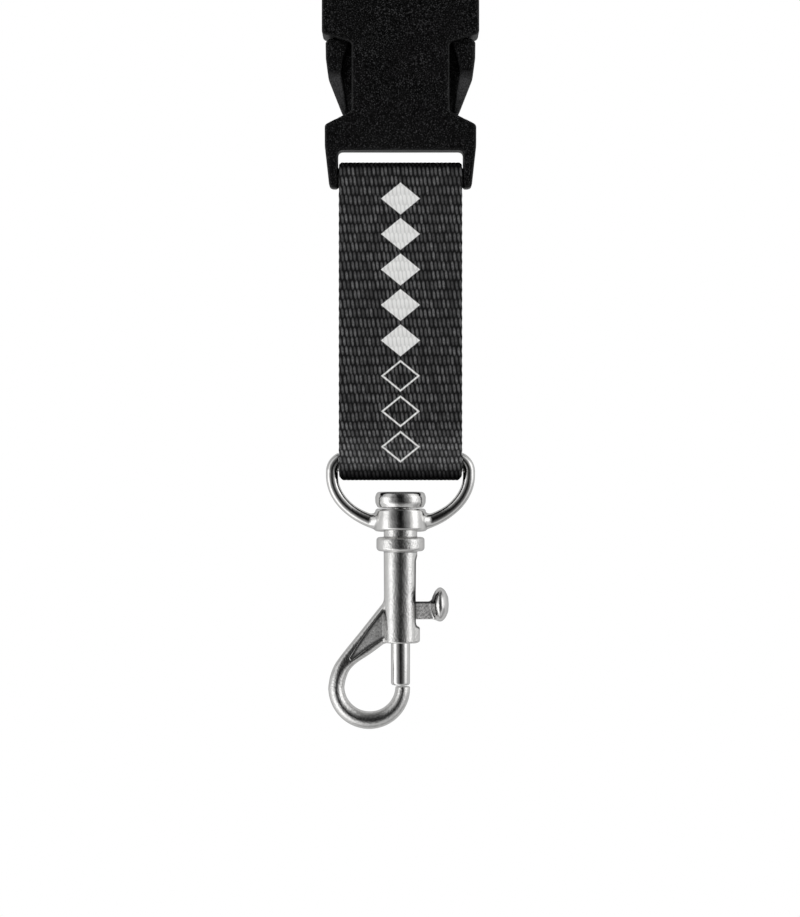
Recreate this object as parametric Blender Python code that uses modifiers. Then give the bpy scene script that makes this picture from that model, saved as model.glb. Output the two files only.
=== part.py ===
"""Short lanyard end: side-release buckle, folded webbing strap and swivel bolt snap.

The lanyard hangs along -Z with its front facing -Y. The origin is on the underside
of the plug's strap bar, where the neck strap's loop bears. All sizes are in metres.
"""
import math

import bmesh
import bpy
from mathutils import Matrix

MM = 0.001

# ---- driving dimensions -------------------------------------------------------------
STRAP_WIDTH = 25.0 * MM          # webbing width
STRAP_THICK = 1.3 * MM           # one ply of webbing
MOUTH_Z = -10.8 * MM             # top edge of the socket, where the plug goes in

# plug: strap bar, slot, flange and tongue
PLUG_TOP_Z = 4.0 * MM            # top of the strap bar; its underside is z = 0
PLUG_SLOT_HEIGHT = 4.8 * MM
SLOT_WIDTH = 25.4 * MM
PLUG_BAR_HALF_DEPTH = 2.3 * MM
PLUG_FLANGE_HALF_DEPTH = 4.6 * MM
TONGUE_LENGTH = 21.5 * MM        # below the mouth

# latch arms
ARM_HALF_DEPTH = 2.8 * MM
ARM_HINGE_X = 11.0 * MM
ARM_HINGE_RISE = 1.0 * MM        # hinge line above the mouth
ARM_ROOT_RADIUS = 1.4 * MM

# socket: mouth block, waist, flare, legs and strap bar
MOUTH_HALF_WIDTH = 15.9 * MM
MOUTH_HEIGHT = 7.5 * MM
MOUTH_HALF_DEPTH = 5.0 * MM
WAIST_HALF_WIDTH = 9.9 * MM
CAVITY_HALF_WIDTH = 13.6 * MM
CAVITY_HALF_DEPTH = 3.2 * MM
CAVITY_DEPTH = 24.6 * MM
SLOT_DROP = 30.8 * MM            # top of the strap slot below the mouth
BAR_DROP = 36.3 * MM             # strap bar's axis below the mouth
BAR_RADIUS = 1.8 * MM
LEG_DROP = 38.6 * MM             # leg ends below the mouth

# swivel eye
EYE_BAR_DROP = 95.1 * MM         # eye bar's axis below the mouth
EYE_WIRE_RADIUS = 1.22 * MM
EYE_HALF_WIDTH = 13.94 * MM      # to the wire's centre line
EYE_DEPTH = 10.3 * MM            # lower arc's half height, wire centre line
EYE_ARC_DROP = 96.7 * MM         # level of the lower arc's centre
EAR_RADIUS = 3.0 * MM
HUB_TOP_DROP = 103.5 * MM
HUB_BOTTOM_DROP = 108.1 * MM
HUB_RADIUS = 4.95 * MM
HUB_RIM_RADIUS = 5.3 * MM        # lower rim
HUB_BORE_RADIUS = 2.4 * MM

# bolt snap
STEM_RADIUS = 2.3 * MM
SPIGOT_RADIUS = 1.7 * MM
CAP_RADIUS = 5.1 * MM
CAP_TOP_DROP = 100.1 * MM
COLLAR_RADIUS = 4.9 * MM
COLLAR_TOP_DROP = 109.3 * MM
COLLAR_BOTTOM_DROP = 112.1 * MM
BARREL_RADIUS = 3.4 * MM
BARREL_BOTTOM_DROP = 130.8 * MM
BORE_RADIUS = 2.1 * MM
BORE_TOP_DROP = 109.7 * MM
BOLT_RADIUS = 1.95 * MM
BOLT_TOP_DROP = 122.2 * MM
BOLT_TIP_DROP = 139.4 * MM
BOLT_TRAVEL = 8.4 * MM
STUD_DROP = 124.2 * MM           # thumb stud's axis below the mouth
STUD_HALF_HEIGHT = 1.78 * MM     # flat stem of the thumb stud
STUD_HALF_DEPTH = 0.9 * MM
STUD_HEAD_RISE = 1.2 * MM        # head stands above the stem's axis
STUD_SLOT_HALF_WIDTH = 1.05 * MM
HOOK_X = -6.3 * MM               # centre of the hook's bend
HOOK_DROP = 139.8 * MM
HOOK_BEND_RADIUS = 6.75 * MM     # centre line
HOOK_WIRE_RADIUS = 1.75 * MM

RUNNING_GAP = 0.1 * MM           # between the strap and the bar it is folded round
TOUCH_GAP = 0.3 * MM             # between faces that rest on each other

ROUND_STEPS = 28                 # sides of a turned piece


def below(drop):
    """Height of a point that lies `drop` below the socket's mouth."""
    return MOUTH_Z - drop


# ---- scene and helpers --------------------------------------------------------------
def clear_scene():
    for obj in list(bpy.data.objects):
        bpy.data.objects.remove(obj, do_unlink=True)
    for coll in list(bpy.data.collections):
        bpy.data.collections.remove(coll)


clear_scene()
PARTS = bpy.data.collections.new("lanyard")
CUTTERS = bpy.data.collections.new("cutters")
bpy.context.scene.collection.children.link(PARTS)
bpy.context.scene.collection.children.link(CUTTERS)


def make_material(name, color, roughness, metallic):
    mat = bpy.data.materials.new(name)
    mat.use_nodes = True
    shader = mat.node_tree.nodes["Principled BSDF"]
    shader.inputs["Base Color"].default_value = (*color, 1.0)
    shader.inputs["Roughness"].default_value = roughness
    shader.inputs["Metallic"].default_value = metallic
    mat.diffuse_color = (*color, 1.0)
    return mat


def place(obj, collection):
    for coll in list(obj.users_collection):
        coll.objects.unlink(obj)
    collection.objects.link(obj)
    return obj


def as_part(obj, name, material):
    """Give a finished shape its node name and material, in the lanyard's collection."""
    obj.name = name
    obj.data.name = name
    obj.data.materials.clear()
    obj.data.materials.append(material)
    return place(obj, PARTS)


def as_cutter(obj):
    obj.hide_render = True
    obj.display_type = "WIRE"
    return place(obj, CUTTERS)


def combine(base, other, operation):
    """Boolean `other` into `base`: UNION, DIFFERENCE or INTERSECT."""
    mod = base.modifiers.new(operation.lower() + "_" + other.name, "BOOLEAN")
    mod.operation = operation
    mod.solver = "EXACT"
    mod.object = as_cutter(other)
    return base


def freeze(obj):
    """Turn an object with modifiers, or a curve, into a plain welded mesh object."""
    bpy.context.view_layer.update()
    graph = bpy.context.evaluated_depsgraph_get()
    mesh = bpy.data.meshes.new_from_object(obj.evaluated_get(graph))
    bm = bmesh.new()
    bm.from_mesh(mesh)
    bmesh.ops.remove_doubles(bm, verts=bm.verts, dist=0.002 * MM)
    bmesh.ops.recalc_face_normals(bm, faces=bm.faces)
    bm.to_mesh(mesh)
    bm.free()
    solid = bpy.data.objects.new(obj.name + "_solid", mesh)
    solid.matrix_world = obj.matrix_world.copy()
    place(solid, PARTS)
    bpy.data.objects.remove(obj, do_unlink=True)
    return solid


def bevel(obj, width, segments=2, angle=35.0):
    mod = obj.modifiers.new("round_edges", "BEVEL")
    mod.width = width
    mod.segments = segments
    mod.limit_method = "ANGLE"
    mod.angle_limit = math.radians(angle)
    return obj


def smooth(obj, angle=35.0):
    obj.data.shade_smooth()
    obj.data.set_sharp_from_angle(angle=math.radians(angle))
    return obj


FRONT = Matrix.Rotation(math.radians(90), 4, "X")                 # outline in X and Z
SIDE = Matrix(((0, 0, 1, 0), (1, 0, 0, 0), (0, 1, 0, 0), (0, 0, 0, 1)))  # in Y and Z


def plate(name, corners, half_depth, view=FRONT, offset=(0, 0, 0)):
    """Flat outline, given as (across, up) corners in metres, extruded both ways."""
    curve = bpy.data.curves.new(name, "CURVE")
    curve.dimensions = "2D"
    curve.fill_mode = "BOTH"
    curve.extrude = half_depth
    spline = curve.splines.new("POLY")
    spline.points.add(len(corners) - 1)
    for point, (across, up) in zip(spline.points, corners):
        point.co = (across, up, 0, 1)
    spline.use_cyclic_u = True
    obj = bpy.data.objects.new(name, curve)
    place(obj, PARTS)
    obj.matrix_world = Matrix.Translation(offset) @ view
    return freeze(obj)


def tube(name, points, radius, scales=None, cyclic=False, sides=3):
    """Round bar of `radius` along points, with a radius factor at each point."""
    curve = bpy.data.curves.new(name, "CURVE")
    curve.dimensions = "3D"
    curve.bevel_depth = radius
    curve.bevel_resolution = sides
    curve.use_fill_caps = not cyclic
    spline = curve.splines.new("POLY")
    spline.points.add(len(points) - 1)
    for i, (point, co) in enumerate(zip(spline.points, points)):
        point.co = (*co, 1)
        point.radius = scales[i] if scales else 1.0
    spline.use_cyclic_u = cyclic
    obj = bpy.data.objects.new(name, curve)
    place(obj, PARTS)
    return freeze(obj)


def turned(name, profile, steps=ROUND_STEPS, closed=False, axis="Z", offset=(0, 0, 0)):
    """Turn a profile of (radius, height) about Z, listed down its outer side.

    An open profile starts and ends on the axis; a closed one makes a ring.
    """
    mesh = bpy.data.meshes.new(name)
    bm = bmesh.new()
    verts = [bm.verts.new((r, 0, z)) for r, z in profile]
    pairs = list(zip(verts, verts[1:]))
    if closed:
        pairs.append((verts[-1], verts[0]))
    for a, b in pairs:
        bm.edges.new((a, b))
    bm.to_mesh(mesh)
    bm.free()
    obj = bpy.data.objects.new(name, mesh)
    place(obj, PARTS)
    screw = obj.modifiers.new("turn", "SCREW")
    screw.axis = "Z"
    screw.steps = steps
    screw.render_steps = steps
    screw.use_merge_vertices = True
    screw.merge_threshold = 0.00001
    screw.use_normal_calculate = True
    turn = Matrix.Identity(4)
    if axis == "X":                       # the profile's +Z end points along +X
        turn = Matrix.Rotation(math.radians(90), 4, "Y")
    obj.matrix_world = Matrix.Translation(offset) @ turn
    return freeze(obj)


def box(name, low, high):
    bpy.ops.mesh.primitive_cube_add(size=1)
    obj = bpy.context.object
    obj.name = name
    size = [h - l for l, h in zip(low, high)]
    mid = [(h + l) / 2 for l, h in zip(low, high)]
    obj.data.transform(Matrix.Translation(mid) @ Matrix.Diagonal((*size, 1)))
    return place(obj, PARTS)


def rod(name, radius, length, centre, axis, sides=ROUND_STEPS):
    bpy.ops.mesh.primitive_cylinder_add(vertices=sides, radius=radius, depth=length)
    obj = bpy.context.object
    obj.name = name
    turn = {"X": ("Y", 90), "Y": ("X", 90), "Z": ("Z", 0)}[axis]
    obj.data.transform(Matrix.Translation(centre)
                       @ Matrix.Rotation(math.radians(turn[1]), 4, turn[0]))
    return place(obj, PARTS)


def arc(cx, cy, radius, start, end, count):
    """Points on an arc, angles in degrees, both ends included."""
    out = []
    for i in range(count + 1):
        a = math.radians(start + (end - start) * i / count)
        out.append((cx + radius * math.cos(a), cy + radius * math.sin(a)))
    return out


def mirrored(half):
    """Close a right-hand outline, listed top to bottom, with its left-hand copy."""
    return half + [(-x, z) for x, z in reversed(half)]


# ---- materials ----------------------------------------------------------------------
BLACK_PLASTIC = (0.012, 0.012, 0.013)
NICKEL = (0.72, 0.72, 0.73)
MATERIALS = {
    "plug_body": make_material("plug_plastic", BLACK_PLASTIC, 0.42, 0.0),
    "latch_arm_left": make_material("left_arm_plastic", BLACK_PLASTIC, 0.42, 0.0),
    "latch_arm_right": make_material("right_arm_plastic", BLACK_PLASTIC, 0.42, 0.0),
    "socket_body": make_material("socket_plastic", BLACK_PLASTIC, 0.45, 0.0),
    "webbing_strap": make_material("webbing", (0.022, 0.022, 0.024), 0.85, 0.0),
    "seam_thread_outer": make_material("needle_thread", (0.015, 0.015, 0.016), 0.7, 0.0),
    "seam_thread_inner": make_material("bobbin_thread", (0.015, 0.015, 0.016), 0.7, 0.0),
    "swivel_eye": make_material("eye_nickel", NICKEL, 0.14, 1.0),
    "post_cap": make_material("cap_nickel", NICKEL, 0.12, 1.0),
    "snap_hook_body": make_material("hook_nickel", NICKEL, 0.14, 1.0),
    "bolt_plunger": make_material("plunger_nickel", NICKEL, 0.12, 1.0),
    "thumb_stud": make_material("stud_nickel", NICKEL, 0.12, 1.0),
    "bolt_spring": make_material("spring_steel", (0.55, 0.55, 0.56), 0.3, 1.0),
}


def finish(obj, name, angle=35.0):
    return as_part(smooth(obj, angle), name, MATERIALS[name])


# ---- plug ---------------------------------------------------------------------------
def build_plug():
    floor = MOUTH_Z + TOUCH_GAP
    half = arc(11.6 * MM, PLUG_TOP_Z - 2.6 * MM, 2.6 * MM, 90, 12, 5)
    half += [(15.0 * MM, -5.6 * MM), (15.0 * MM, floor)]
    front = plate("plug_front", mirrored(half), 7 * MM)
    side_half = [(PLUG_BAR_HALF_DEPTH, PLUG_TOP_Z), (PLUG_BAR_HALF_DEPTH, -3.6 * MM),
                 (3.9 * MM, -6.0 * MM), (PLUG_FLANGE_HALF_DEPTH, -7.6 * MM),
                 (PLUG_FLANGE_HALF_DEPTH, floor)]
    side = plate("plug_side", mirrored(side_half), 20 * MM, SIDE)
    body = combine(front, side, "INTERSECT")
    body = freeze(body)

    slot_half = SLOT_WIDTH / 2
    r = 0.9 * MM
    top, low = 0.0, -PLUG_SLOT_HEIGHT
    corners = (arc(slot_half - r, top - r, r, 90, 0, 3)
               + arc(slot_half - r, low + r, r, 0, -90, 3))
    slot = plate("plug_slot", mirrored(corners), 9 * MM)
    body = freeze(combine(body, slot, "DIFFERENCE"))
    body = freeze(bevel(body, 0.55 * MM, 2, 40))

    # tongue that guides the plug in the socket, thicker at its root
    tongue_half = [(8.2 * MM, floor + 2 * MM), (8.2 * MM, below(2.6 * MM)),
                   (3.4 * MM, below(6.0 * MM)), (3.4 * MM, below(TONGUE_LENGTH - 1.5 * MM)),
                   (2.2 * MM, below(TONGUE_LENGTH))]
    tongue = plate("tongue", mirrored(tongue_half), 2.6 * MM)
    tongue = freeze(bevel(tongue, 0.3 * MM, 1, 60))
    body = freeze(combine(body, tongue, "UNION"))

    # seats for the two latch arms' roots
    for sign in (-1, 1):
        x, z = sign * ARM_HINGE_X, MOUTH_Z + ARM_HINGE_RISE
        seat_radius = ARM_ROOT_RADIUS + 0.15 * MM
        outline = arc(x, z, seat_radius, 180, 0, 10)
        outline += [(x + 1.75 * MM, z - 0.6 * MM), (x + 1.75 * MM, z - 3 * MM),
                    (x - 1.95 * MM, z - 3 * MM), (x - 1.95 * MM, z - 0.6 * MM)]
        seat = plate("arm_seat", outline, ARM_HALF_DEPTH + 0.15 * MM)
        body = freeze(combine(body, seat, "DIFFERENCE"))
    return finish(body, "plug_body")


def build_latch_arm(name, sign):
    """Springy arm; its shoulder catches under the mouth block."""
    hinge_z = MOUTH_Z + ARM_HINGE_RISE
    root = arc(ARM_HINGE_X, hinge_z, ARM_ROOT_RADIUS, 205, -25, 12)
    outer = [(12.4, 3.0), (12.5, 8.3), (14.6, 8.3), (15.2, 8.9), (15.1, 12.5), (14.6, 16.0),
             (13.9, 18.6), (12.9, 20.9), (12.0, 22.9), (11.5, 23.7)]
    inner = [(11.0, 23.6), (10.9, 22.2), (11.5, 18.4), (12.0, 15.3), (11.6, 12.6),
             (10.6, 9.6), (9.9, 7.6), (9.7, 3.0)]
    outline = root + [(x * MM, below(d * MM)) for x, d in outer + inner]
    outline = [(sign * x, z) for x, z in outline]
    if sign < 0:
        outline.reverse()
    arm = plate(name, outline, ARM_HALF_DEPTH)
    arm = freeze(bevel(arm, 0.25 * MM, 2, 60))
    # thin stiffening web along the inner side
    web = [(9.9, 5.6), (10.3, 7.6), (11.0, 9.6), (12.0, 12.6), (12.4, 15.3), (11.9, 18.4),
           (11.3, 22.0), (10.7, 22.6), (9.35, 20.6), (9.35, 6.2)]
    web = [(sign * x * MM, below(d * MM)) for x, d in web]
    if sign < 0:
        web.reverse()
    arm = freeze(combine(arm, plate("arm_web", web, 0.9 * MM), "UNION"))
    return finish(arm, name)


# ---- socket -------------------------------------------------------------------------
def build_socket():
    mouth, waist = MOUTH_HALF_WIDTH, WAIST_HALF_WIDTH
    half = [(mouth - 0.4 * MM, MOUTH_Z), (mouth, below(0.4 * MM)),
            (mouth, below(MOUTH_HEIGHT - 0.4 * MM)), (mouth - 0.4 * MM, below(MOUTH_HEIGHT)),
            (waist + 0.5 * MM, below(9.0 * MM)), (waist, below(9.5 * MM)),
            (waist, below(22.6 * MM)), (waist + 0.4 * MM, below(23.2 * MM)),
            (14.9 * MM, below(25.5 * MM)), (15.35 * MM, below(26.2 * MM)),
            (15.35 * MM, below(30.0 * MM)), (14.45 * MM, below(37.6 * MM))]
    half += arc(13.6 * MM, below(LEG_DROP - 0.9 * MM), 0.8 * MM, 0, -90, 4)
    front = plate("socket_front", mirrored(half), 8 * MM)
    side_half = [(MOUTH_HALF_DEPTH - 0.25 * MM, MOUTH_Z), (MOUTH_HALF_DEPTH, below(1.6 * MM)),
                 (MOUTH_HALF_DEPTH, below(6.4 * MM)), (4.75 * MM, below(7.6 * MM)),
                 (4.7 * MM, below(14 * MM)), (4.35 * MM, below(20 * MM)),
                 (3.85 * MM, below(25 * MM)), (3.1 * MM, below(29.5 * MM)),
                 (2.6 * MM, below(33 * MM)), (2.5 * MM, below(LEG_DROP))]
    side = plate("socket_side", mirrored(side_half), 20 * MM, SIDE)
    body = freeze(combine(front, side, "INTERSECT"))

    r, half_slot = 0.8 * MM, SLOT_WIDTH / 2
    corners = arc(half_slot - r, below(SLOT_DROP) - r, r, 90, 0, 3)
    corners.append((half_slot, below(LEG_DROP + 3 * MM)))
    slot = plate("socket_slot", mirrored(corners), 9 * MM)
    body = freeze(combine(body, slot, "DIFFERENCE"))
    body = freeze(bevel(body, 0.45 * MM, 2, 40))

    # hollow for the tongue and the arms, open at the mouth and at both side windows
    w, d = CAVITY_HALF_WIDTH, CAVITY_HALF_DEPTH
    hollow = box("socket_hollow", (-w, -d, below(CAVITY_DEPTH)), (w, d, MOUTH_Z + 2 * MM))
    body = freeze(combine(body, hollow, "DIFFERENCE"))
    lead_in = plate("mouth_lead_in",
                    mirrored([(d + 0.5 * MM, MOUTH_Z + 0.2 * MM), (d, below(0.5 * MM))]),
                    w, SIDE)
    body = freeze(combine(body, lead_in, "DIFFERENCE"))

    bar = rod("strap_bar", BAR_RADIUS, SLOT_WIDTH + 1.4 * MM, (0, 0, below(BAR_DROP)), "X")
    body = freeze(combine(body, bar, "UNION"))
    return finish(body, "socket_body")


# ---- strap --------------------------------------------------------------------------
TOP_RADIUS = BAR_RADIUS + RUNNING_GAP + STRAP_THICK / 2          # ply's middle line
LOW_RADIUS = EYE_WIRE_RADIUS + RUNNING_GAP + STRAP_THICK / 2
FLAP_SHIFT = STRAP_THICK + 0.08 * MM                             # outer layer of the lap
LAP_TOP_DROP = 56.0 * MM
LAP_END_DROP = 77.5 * MM
SEAM_THREAD_RADIUS = 0.22 * MM


def back_line(drop):
    """Depth of the back ply's middle line at a drop below the mouth."""
    t = (drop - BAR_DROP) / (EYE_BAR_DROP - BAR_DROP)
    return TOP_RADIUS + (LOW_RADIUS - TOP_RADIUS) * t


def strap_middle_line():
    """The strip's middle line in Y and Z, from its inner end to its outer end."""
    line = [(back_line(LAP_END_DROP), below(LAP_END_DROP))]
    line += arc(0, below(BAR_DROP), TOP_RADIUS, 0, 180, 14)
    line += arc(0, below(EYE_BAR_DROP), LOW_RADIUS, 180, 360, 14)
    start, end = LAP_END_DROP + 7.5 * MM, LAP_END_DROP + 1.2 * MM
    for i in range(7):                       # smooth step out to the outer layer
        t = i / 6
        drop = start + (end - start) * t
        line.append((back_line(drop) + FLAP_SHIFT * (3 * t * t - 2 * t ** 3), below(drop)))
    line.append((back_line(LAP_TOP_DROP) + FLAP_SHIFT, below(LAP_TOP_DROP)))
    return line


def offset_line(line, distance):
    """Parallel copy of an open line, moved to its left by `distance`."""
    out = []
    for i, (y, z) in enumerate(line):
        y0, z0 = line[max(i - 1, 0)]
        y1, z1 = line[min(i + 1, len(line) - 1)]
        length = math.hypot(y1 - y0, z1 - z0)
        out.append((y - (z1 - z0) / length * distance, z + (y1 - y0) / length * distance))
    return out


def build_strap():
    line = strap_middle_line()
    half = STRAP_THICK / 2
    outline = offset_line(line, half) + list(reversed(offset_line(line, -half)))
    strap = plate("strap", outline, STRAP_WIDTH / 2, SIDE)
    return finish(strap, "webbing_strap", 50)


def build_seam(name, depth_shift):
    """Thread on one face of the lap: rows across the strap, joined at alternate ends."""
    half, top, low = 9.8 * MM, LAP_TOP_DROP + 2.2 * MM, LAP_END_DROP - 2.2 * MM
    rows = 5
    path = []
    for row in range(rows):
        drop = top + (low - top) * row / (rows - 1)
        side = -1 if row % 2 else 1
        for x in (-side * half, side * half):
            path.append((x, back_line(drop) + depth_shift, below(drop)))
    return finish(tube(name, path, SEAM_THREAD_RADIUS, sides=2), name)


# ---- swivel eye ---------------------------------------------------------------------
def build_eye():
    ear_x = EYE_HALF_WIDTH - EAR_RADIUS
    ear_z = below(EYE_BAR_DROP + 0.9 * MM)
    edge = STRAP_WIDTH / 2 + 0.25 * MM
    body = rod("eye_bar", EYE_WIRE_RADIUS * 0.97, 2 * EYE_HALF_WIDTH - 0.5 * MM,
               (0, 0, below(EYE_BAR_DROP)), "X", 16)
    hub_z0, hub_z1 = below(HUB_BOTTOM_DROP), below(HUB_TOP_DROP)
    c = 0.6 * MM
    rim = HUB_RIM_RADIUS
    hub = turned("eye_hub", [(0, hub_z1), (HUB_RADIUS - c, hub_z1), (HUB_RADIUS, hub_z1 - c),
                             (HUB_RADIUS, hub_z0 + 1.5 * MM), (rim, hub_z0 + 1.0 * MM),
                             (rim, hub_z0 + 0.35 * MM), (rim - 0.4 * MM, hub_z0),
                             (0, hub_z0)])
    body = freeze(combine(body, hub, "UNION"))
    for sign in (-1, 1):
        path = [(sign * x, 0, z) for x, z in arc(ear_x, ear_z, EAR_RADIUS, 70, 0, 7)]
        count = 16
        for i in range(count + 1):
            a = math.radians(71.0 * i / count)
            path.append((sign * EYE_HALF_WIDTH * math.cos(a), 0,
                         below(EYE_ARC_DROP) - EYE_DEPTH * math.sin(a)))
        # the wire swells into the hub
        last = len(path) - 1
        scales = [1 + 0.55 * max(0.0, 1 - (last - i) / 4) for i in range(len(path))]
        limb = tube("eye_limb", path, EYE_WIRE_RADIUS, scales, sides=4)
        trim = box("eye_trim", (-edge, -5 * MM, below(EYE_BAR_DROP + 1.5 * MM)),
                   (edge, 5 * MM, below(EYE_BAR_DROP - 9 * MM)))
        limb = freeze(combine(limb, trim, "DIFFERENCE"))
        body = freeze(combine(body, limb, "UNION"))
    bore = rod("eye_bore", HUB_BORE_RADIUS, 12 * MM,
               (0, 0, (hub_z0 + hub_z1) / 2), "Z")
    body = freeze(combine(body, bore, "DIFFERENCE"))
    return finish(body, "swivel_eye")


def build_post_cap():
    top, low, r = below(CAP_TOP_DROP), below(HUB_TOP_DROP - 0.2 * MM), 1.1 * MM
    hole = SPIGOT_RADIUS + 0.06 * MM
    profile = [(0, top)]
    profile += arc(CAP_RADIUS - r, top - r, r, 90, 0, 4)
    profile += [(CAP_RADIUS, low + 1.5 * MM), (CAP_RADIUS - 0.15 * MM, low + 0.7 * MM),
                (CAP_RADIUS - 0.45 * MM, low + 0.15 * MM), (CAP_RADIUS - 0.7 * MM, low)]
    profile += [(hole, low), (hole, low + 2.2 * MM), (0, low + 2.2 * MM)]
    return finish(turned("cap", profile), "post_cap")


# ---- bolt snap ----------------------------------------------------------------------
def build_snap_body():
    spigot_top = below(HUB_TOP_DROP - 2.2 * MM)
    neck = 3.4 * MM
    profile = [(0, spigot_top), (SPIGOT_RADIUS, spigot_top),
               (SPIGOT_RADIUS, below(HUB_TOP_DROP - 0.1 * MM)),
               (STEM_RADIUS, below(HUB_TOP_DROP - 0.1 * MM)),
               (STEM_RADIUS, below(HUB_BOTTOM_DROP + 0.25 * MM)),
               (neck, below(HUB_BOTTOM_DROP + 0.25 * MM)),
               (neck, below(COLLAR_TOP_DROP)),
               (COLLAR_RADIUS - 0.5 * MM, below(COLLAR_TOP_DROP)),
               (COLLAR_RADIUS, below(COLLAR_TOP_DROP + 0.5 * MM)),
               (COLLAR_RADIUS, below(COLLAR_BOTTOM_DROP - 0.5 * MM)),
               (COLLAR_RADIUS - 0.5 * MM, below(COLLAR_BOTTOM_DROP)),
               (BARREL_RADIUS + 0.15 * MM, below(COLLAR_BOTTOM_DROP + 0.1 * MM)),
               (BARREL_RADIUS, below(COLLAR_BOTTOM_DROP + 0.4 * MM)),
               (BARREL_RADIUS, below(BARREL_BOTTOM_DROP - 0.3 * MM)),
               (BARREL_RADIUS - 0.3 * MM, below(BARREL_BOTTOM_DROP)),
               (0, below(BARREL_BOTTOM_DROP))]
    body = turned("snap_barrel", profile)

    # rounded lip that closes the stud's slot at its lower end
    lip = rod("slot_lip", 1.75 * MM, 3.2 * MM, (2.2 * MM, 0, below(129.1 * MM)), "Z", 20)
    body = freeze(combine(body, lip, "UNION"))

    # hook: round wire from the tip round the bend, thinning out between the arm's two ribs
    path, scales = [(HOOK_X + HOOK_BEND_RADIUS, 0, below(HOOK_DROP - 0.2 * MM))], [0.8]
    for i in range(17):
        a = math.radians(180 * i / 16)
        path.append((HOOK_X + HOOK_BEND_RADIUS * math.cos(a), 0,
                     below(HOOK_DROP) - HOOK_BEND_RADIUS * math.sin(a)))
        scales.append(min(0.82 + 0.028 * i, 1.14 - 0.0125 * i))
    for x, drop, scale in [(-12.95, 138.4, 0.94), (-12.35, 136.8, 0.91), (-11.45, 135.3, 0.77),
                           (-10.5, 134.0, 0.45)]:
        path.append((x * MM, 0, below(drop * MM)))
        scales.append(scale)
    hook = tube("hook", path, HOOK_WIRE_RADIUS, scales, sides=4)
    body = freeze(combine(body, hook, "UNION"))

    # I-section arm from the barrel to the bend: outer rib, inner rib and thin web
    ribs = {
        "outer_rib": [(-13.5, 135.4), (-11.5, 132.4), (-7.67, 127.8), (-2.6, 121.5),
                      (-2.6, 122.95), (-6.95, 128.4), (-10.75, 133.0), (-12.6, 136.0)],
        "inner_rib": [(-2.6, 130.6), (-6.66, 133.65), (-8.95, 135.2), (-10.9, 136.8),
                      (-12.0, 135.6), (-10.0, 134.4), (-6.9, 132.4), (-2.6, 129.6)]}
    for name, corners in ribs.items():
        rib = plate(name, [(x * MM, below(drop * MM)) for x, drop in corners], 1.1 * MM)
        body = freeze(combine(body, freeze(bevel(rib, 0.2 * MM, 1, 60)), "UNION"))
    web_corners = [(-2.8, 122.2), (-2.8, 130.1), (-11.3, 135.4), (-12.4, 134.9)]
    web = plate("web", [(x * MM, below(drop * MM)) for x, drop in web_corners], 0.45 * MM)
    body = freeze(combine(body, web, "UNION"))

    # bore for the plunger and its spring, and the stud's slot in the right-hand side
    bore_low, bore_top = below(BARREL_BOTTOM_DROP + 1 * MM), below(BORE_TOP_DROP)
    bore = rod("barrel_bore", BORE_RADIUS, bore_top - bore_low,
               (0, 0, (bore_top + bore_low) / 2), "Z", 24)
    body = freeze(combine(body, bore, "DIFFERENCE"))
    r = STUD_SLOT_HALF_WIDTH
    slot_top = below(STUD_DROP - BOLT_TRAVEL - STUD_HALF_HEIGHT - 0.7 * MM)
    slot_low = below(STUD_DROP + 3.2 * MM)
    outline = (arc(0, slot_top - r, r, 180, 0, 8) + arc(0, slot_low + r, r, 0, -180, 8))
    slot = plate("stud_slot", outline, 2.5 * MM, SIDE, (3.0 * MM, 0, 0))
    body = freeze(combine(body, slot, "DIFFERENCE"))
    return finish(body, "snap_hook_body")


def build_plunger():
    top, tip = below(BOLT_TOP_DROP), below(BOLT_TIP_DROP)
    c = 0.35 * MM
    profile = [(0, top), (BOLT_RADIUS - c, top), (BOLT_RADIUS, top - c),
               (BOLT_RADIUS, tip + 2 * c), (BOLT_RADIUS - c, tip + 0.4 * c),
               (BOLT_RADIUS - 2 * c, tip), (0, tip)]
    body = turned("plunger", profile, 24)
    hole = rod("stud_hole", 0.95 * MM, 3 * MM, (1.6 * MM, 0, below(STUD_DROP)), "X", 16)
    body = freeze(combine(body, hole, "DIFFERENCE"))
    return finish(body, "bolt_plunger")


def build_thumb_stud():
    """Spigot in the plunger, flat stem through the slot and a lens-shaped head, along +X."""
    profile = [(0, 9.9 * MM), (1.3 * MM, 9.75 * MM), (2.4 * MM, 9.3 * MM),
               (3.25 * MM, 8.7 * MM), (3.65 * MM, 8.1 * MM), (3.25 * MM, 7.5 * MM),
               (2.4 * MM, 6.9 * MM), (1.5 * MM, 6.45 * MM), (0.85 * MM, 6.3 * MM),
               (0, 6.25 * MM)]
    stud = turned("stud", profile, 24, axis="X",
                  offset=(0, 0, below(STUD_DROP - STUD_HEAD_RISE)))
    spigot = rod("spigot", 0.85 * MM, 2.4 * MM, (1.6 * MM, 0, below(STUD_DROP)), "X", 24)
    h, d = STUD_HALF_HEIGHT, STUD_HALF_DEPTH
    stem = box("stem", (2.15 * MM, -d, below(STUD_DROP) - h),
               (7.7 * MM, d, below(STUD_DROP) + h))
    stem = freeze(combine(freeze(bevel(stem, 0.2 * MM, 1, 60)), spigot, "UNION"))
    return finish(freeze(combine(stud, stem, "UNION")), "thumb_stud")


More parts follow.
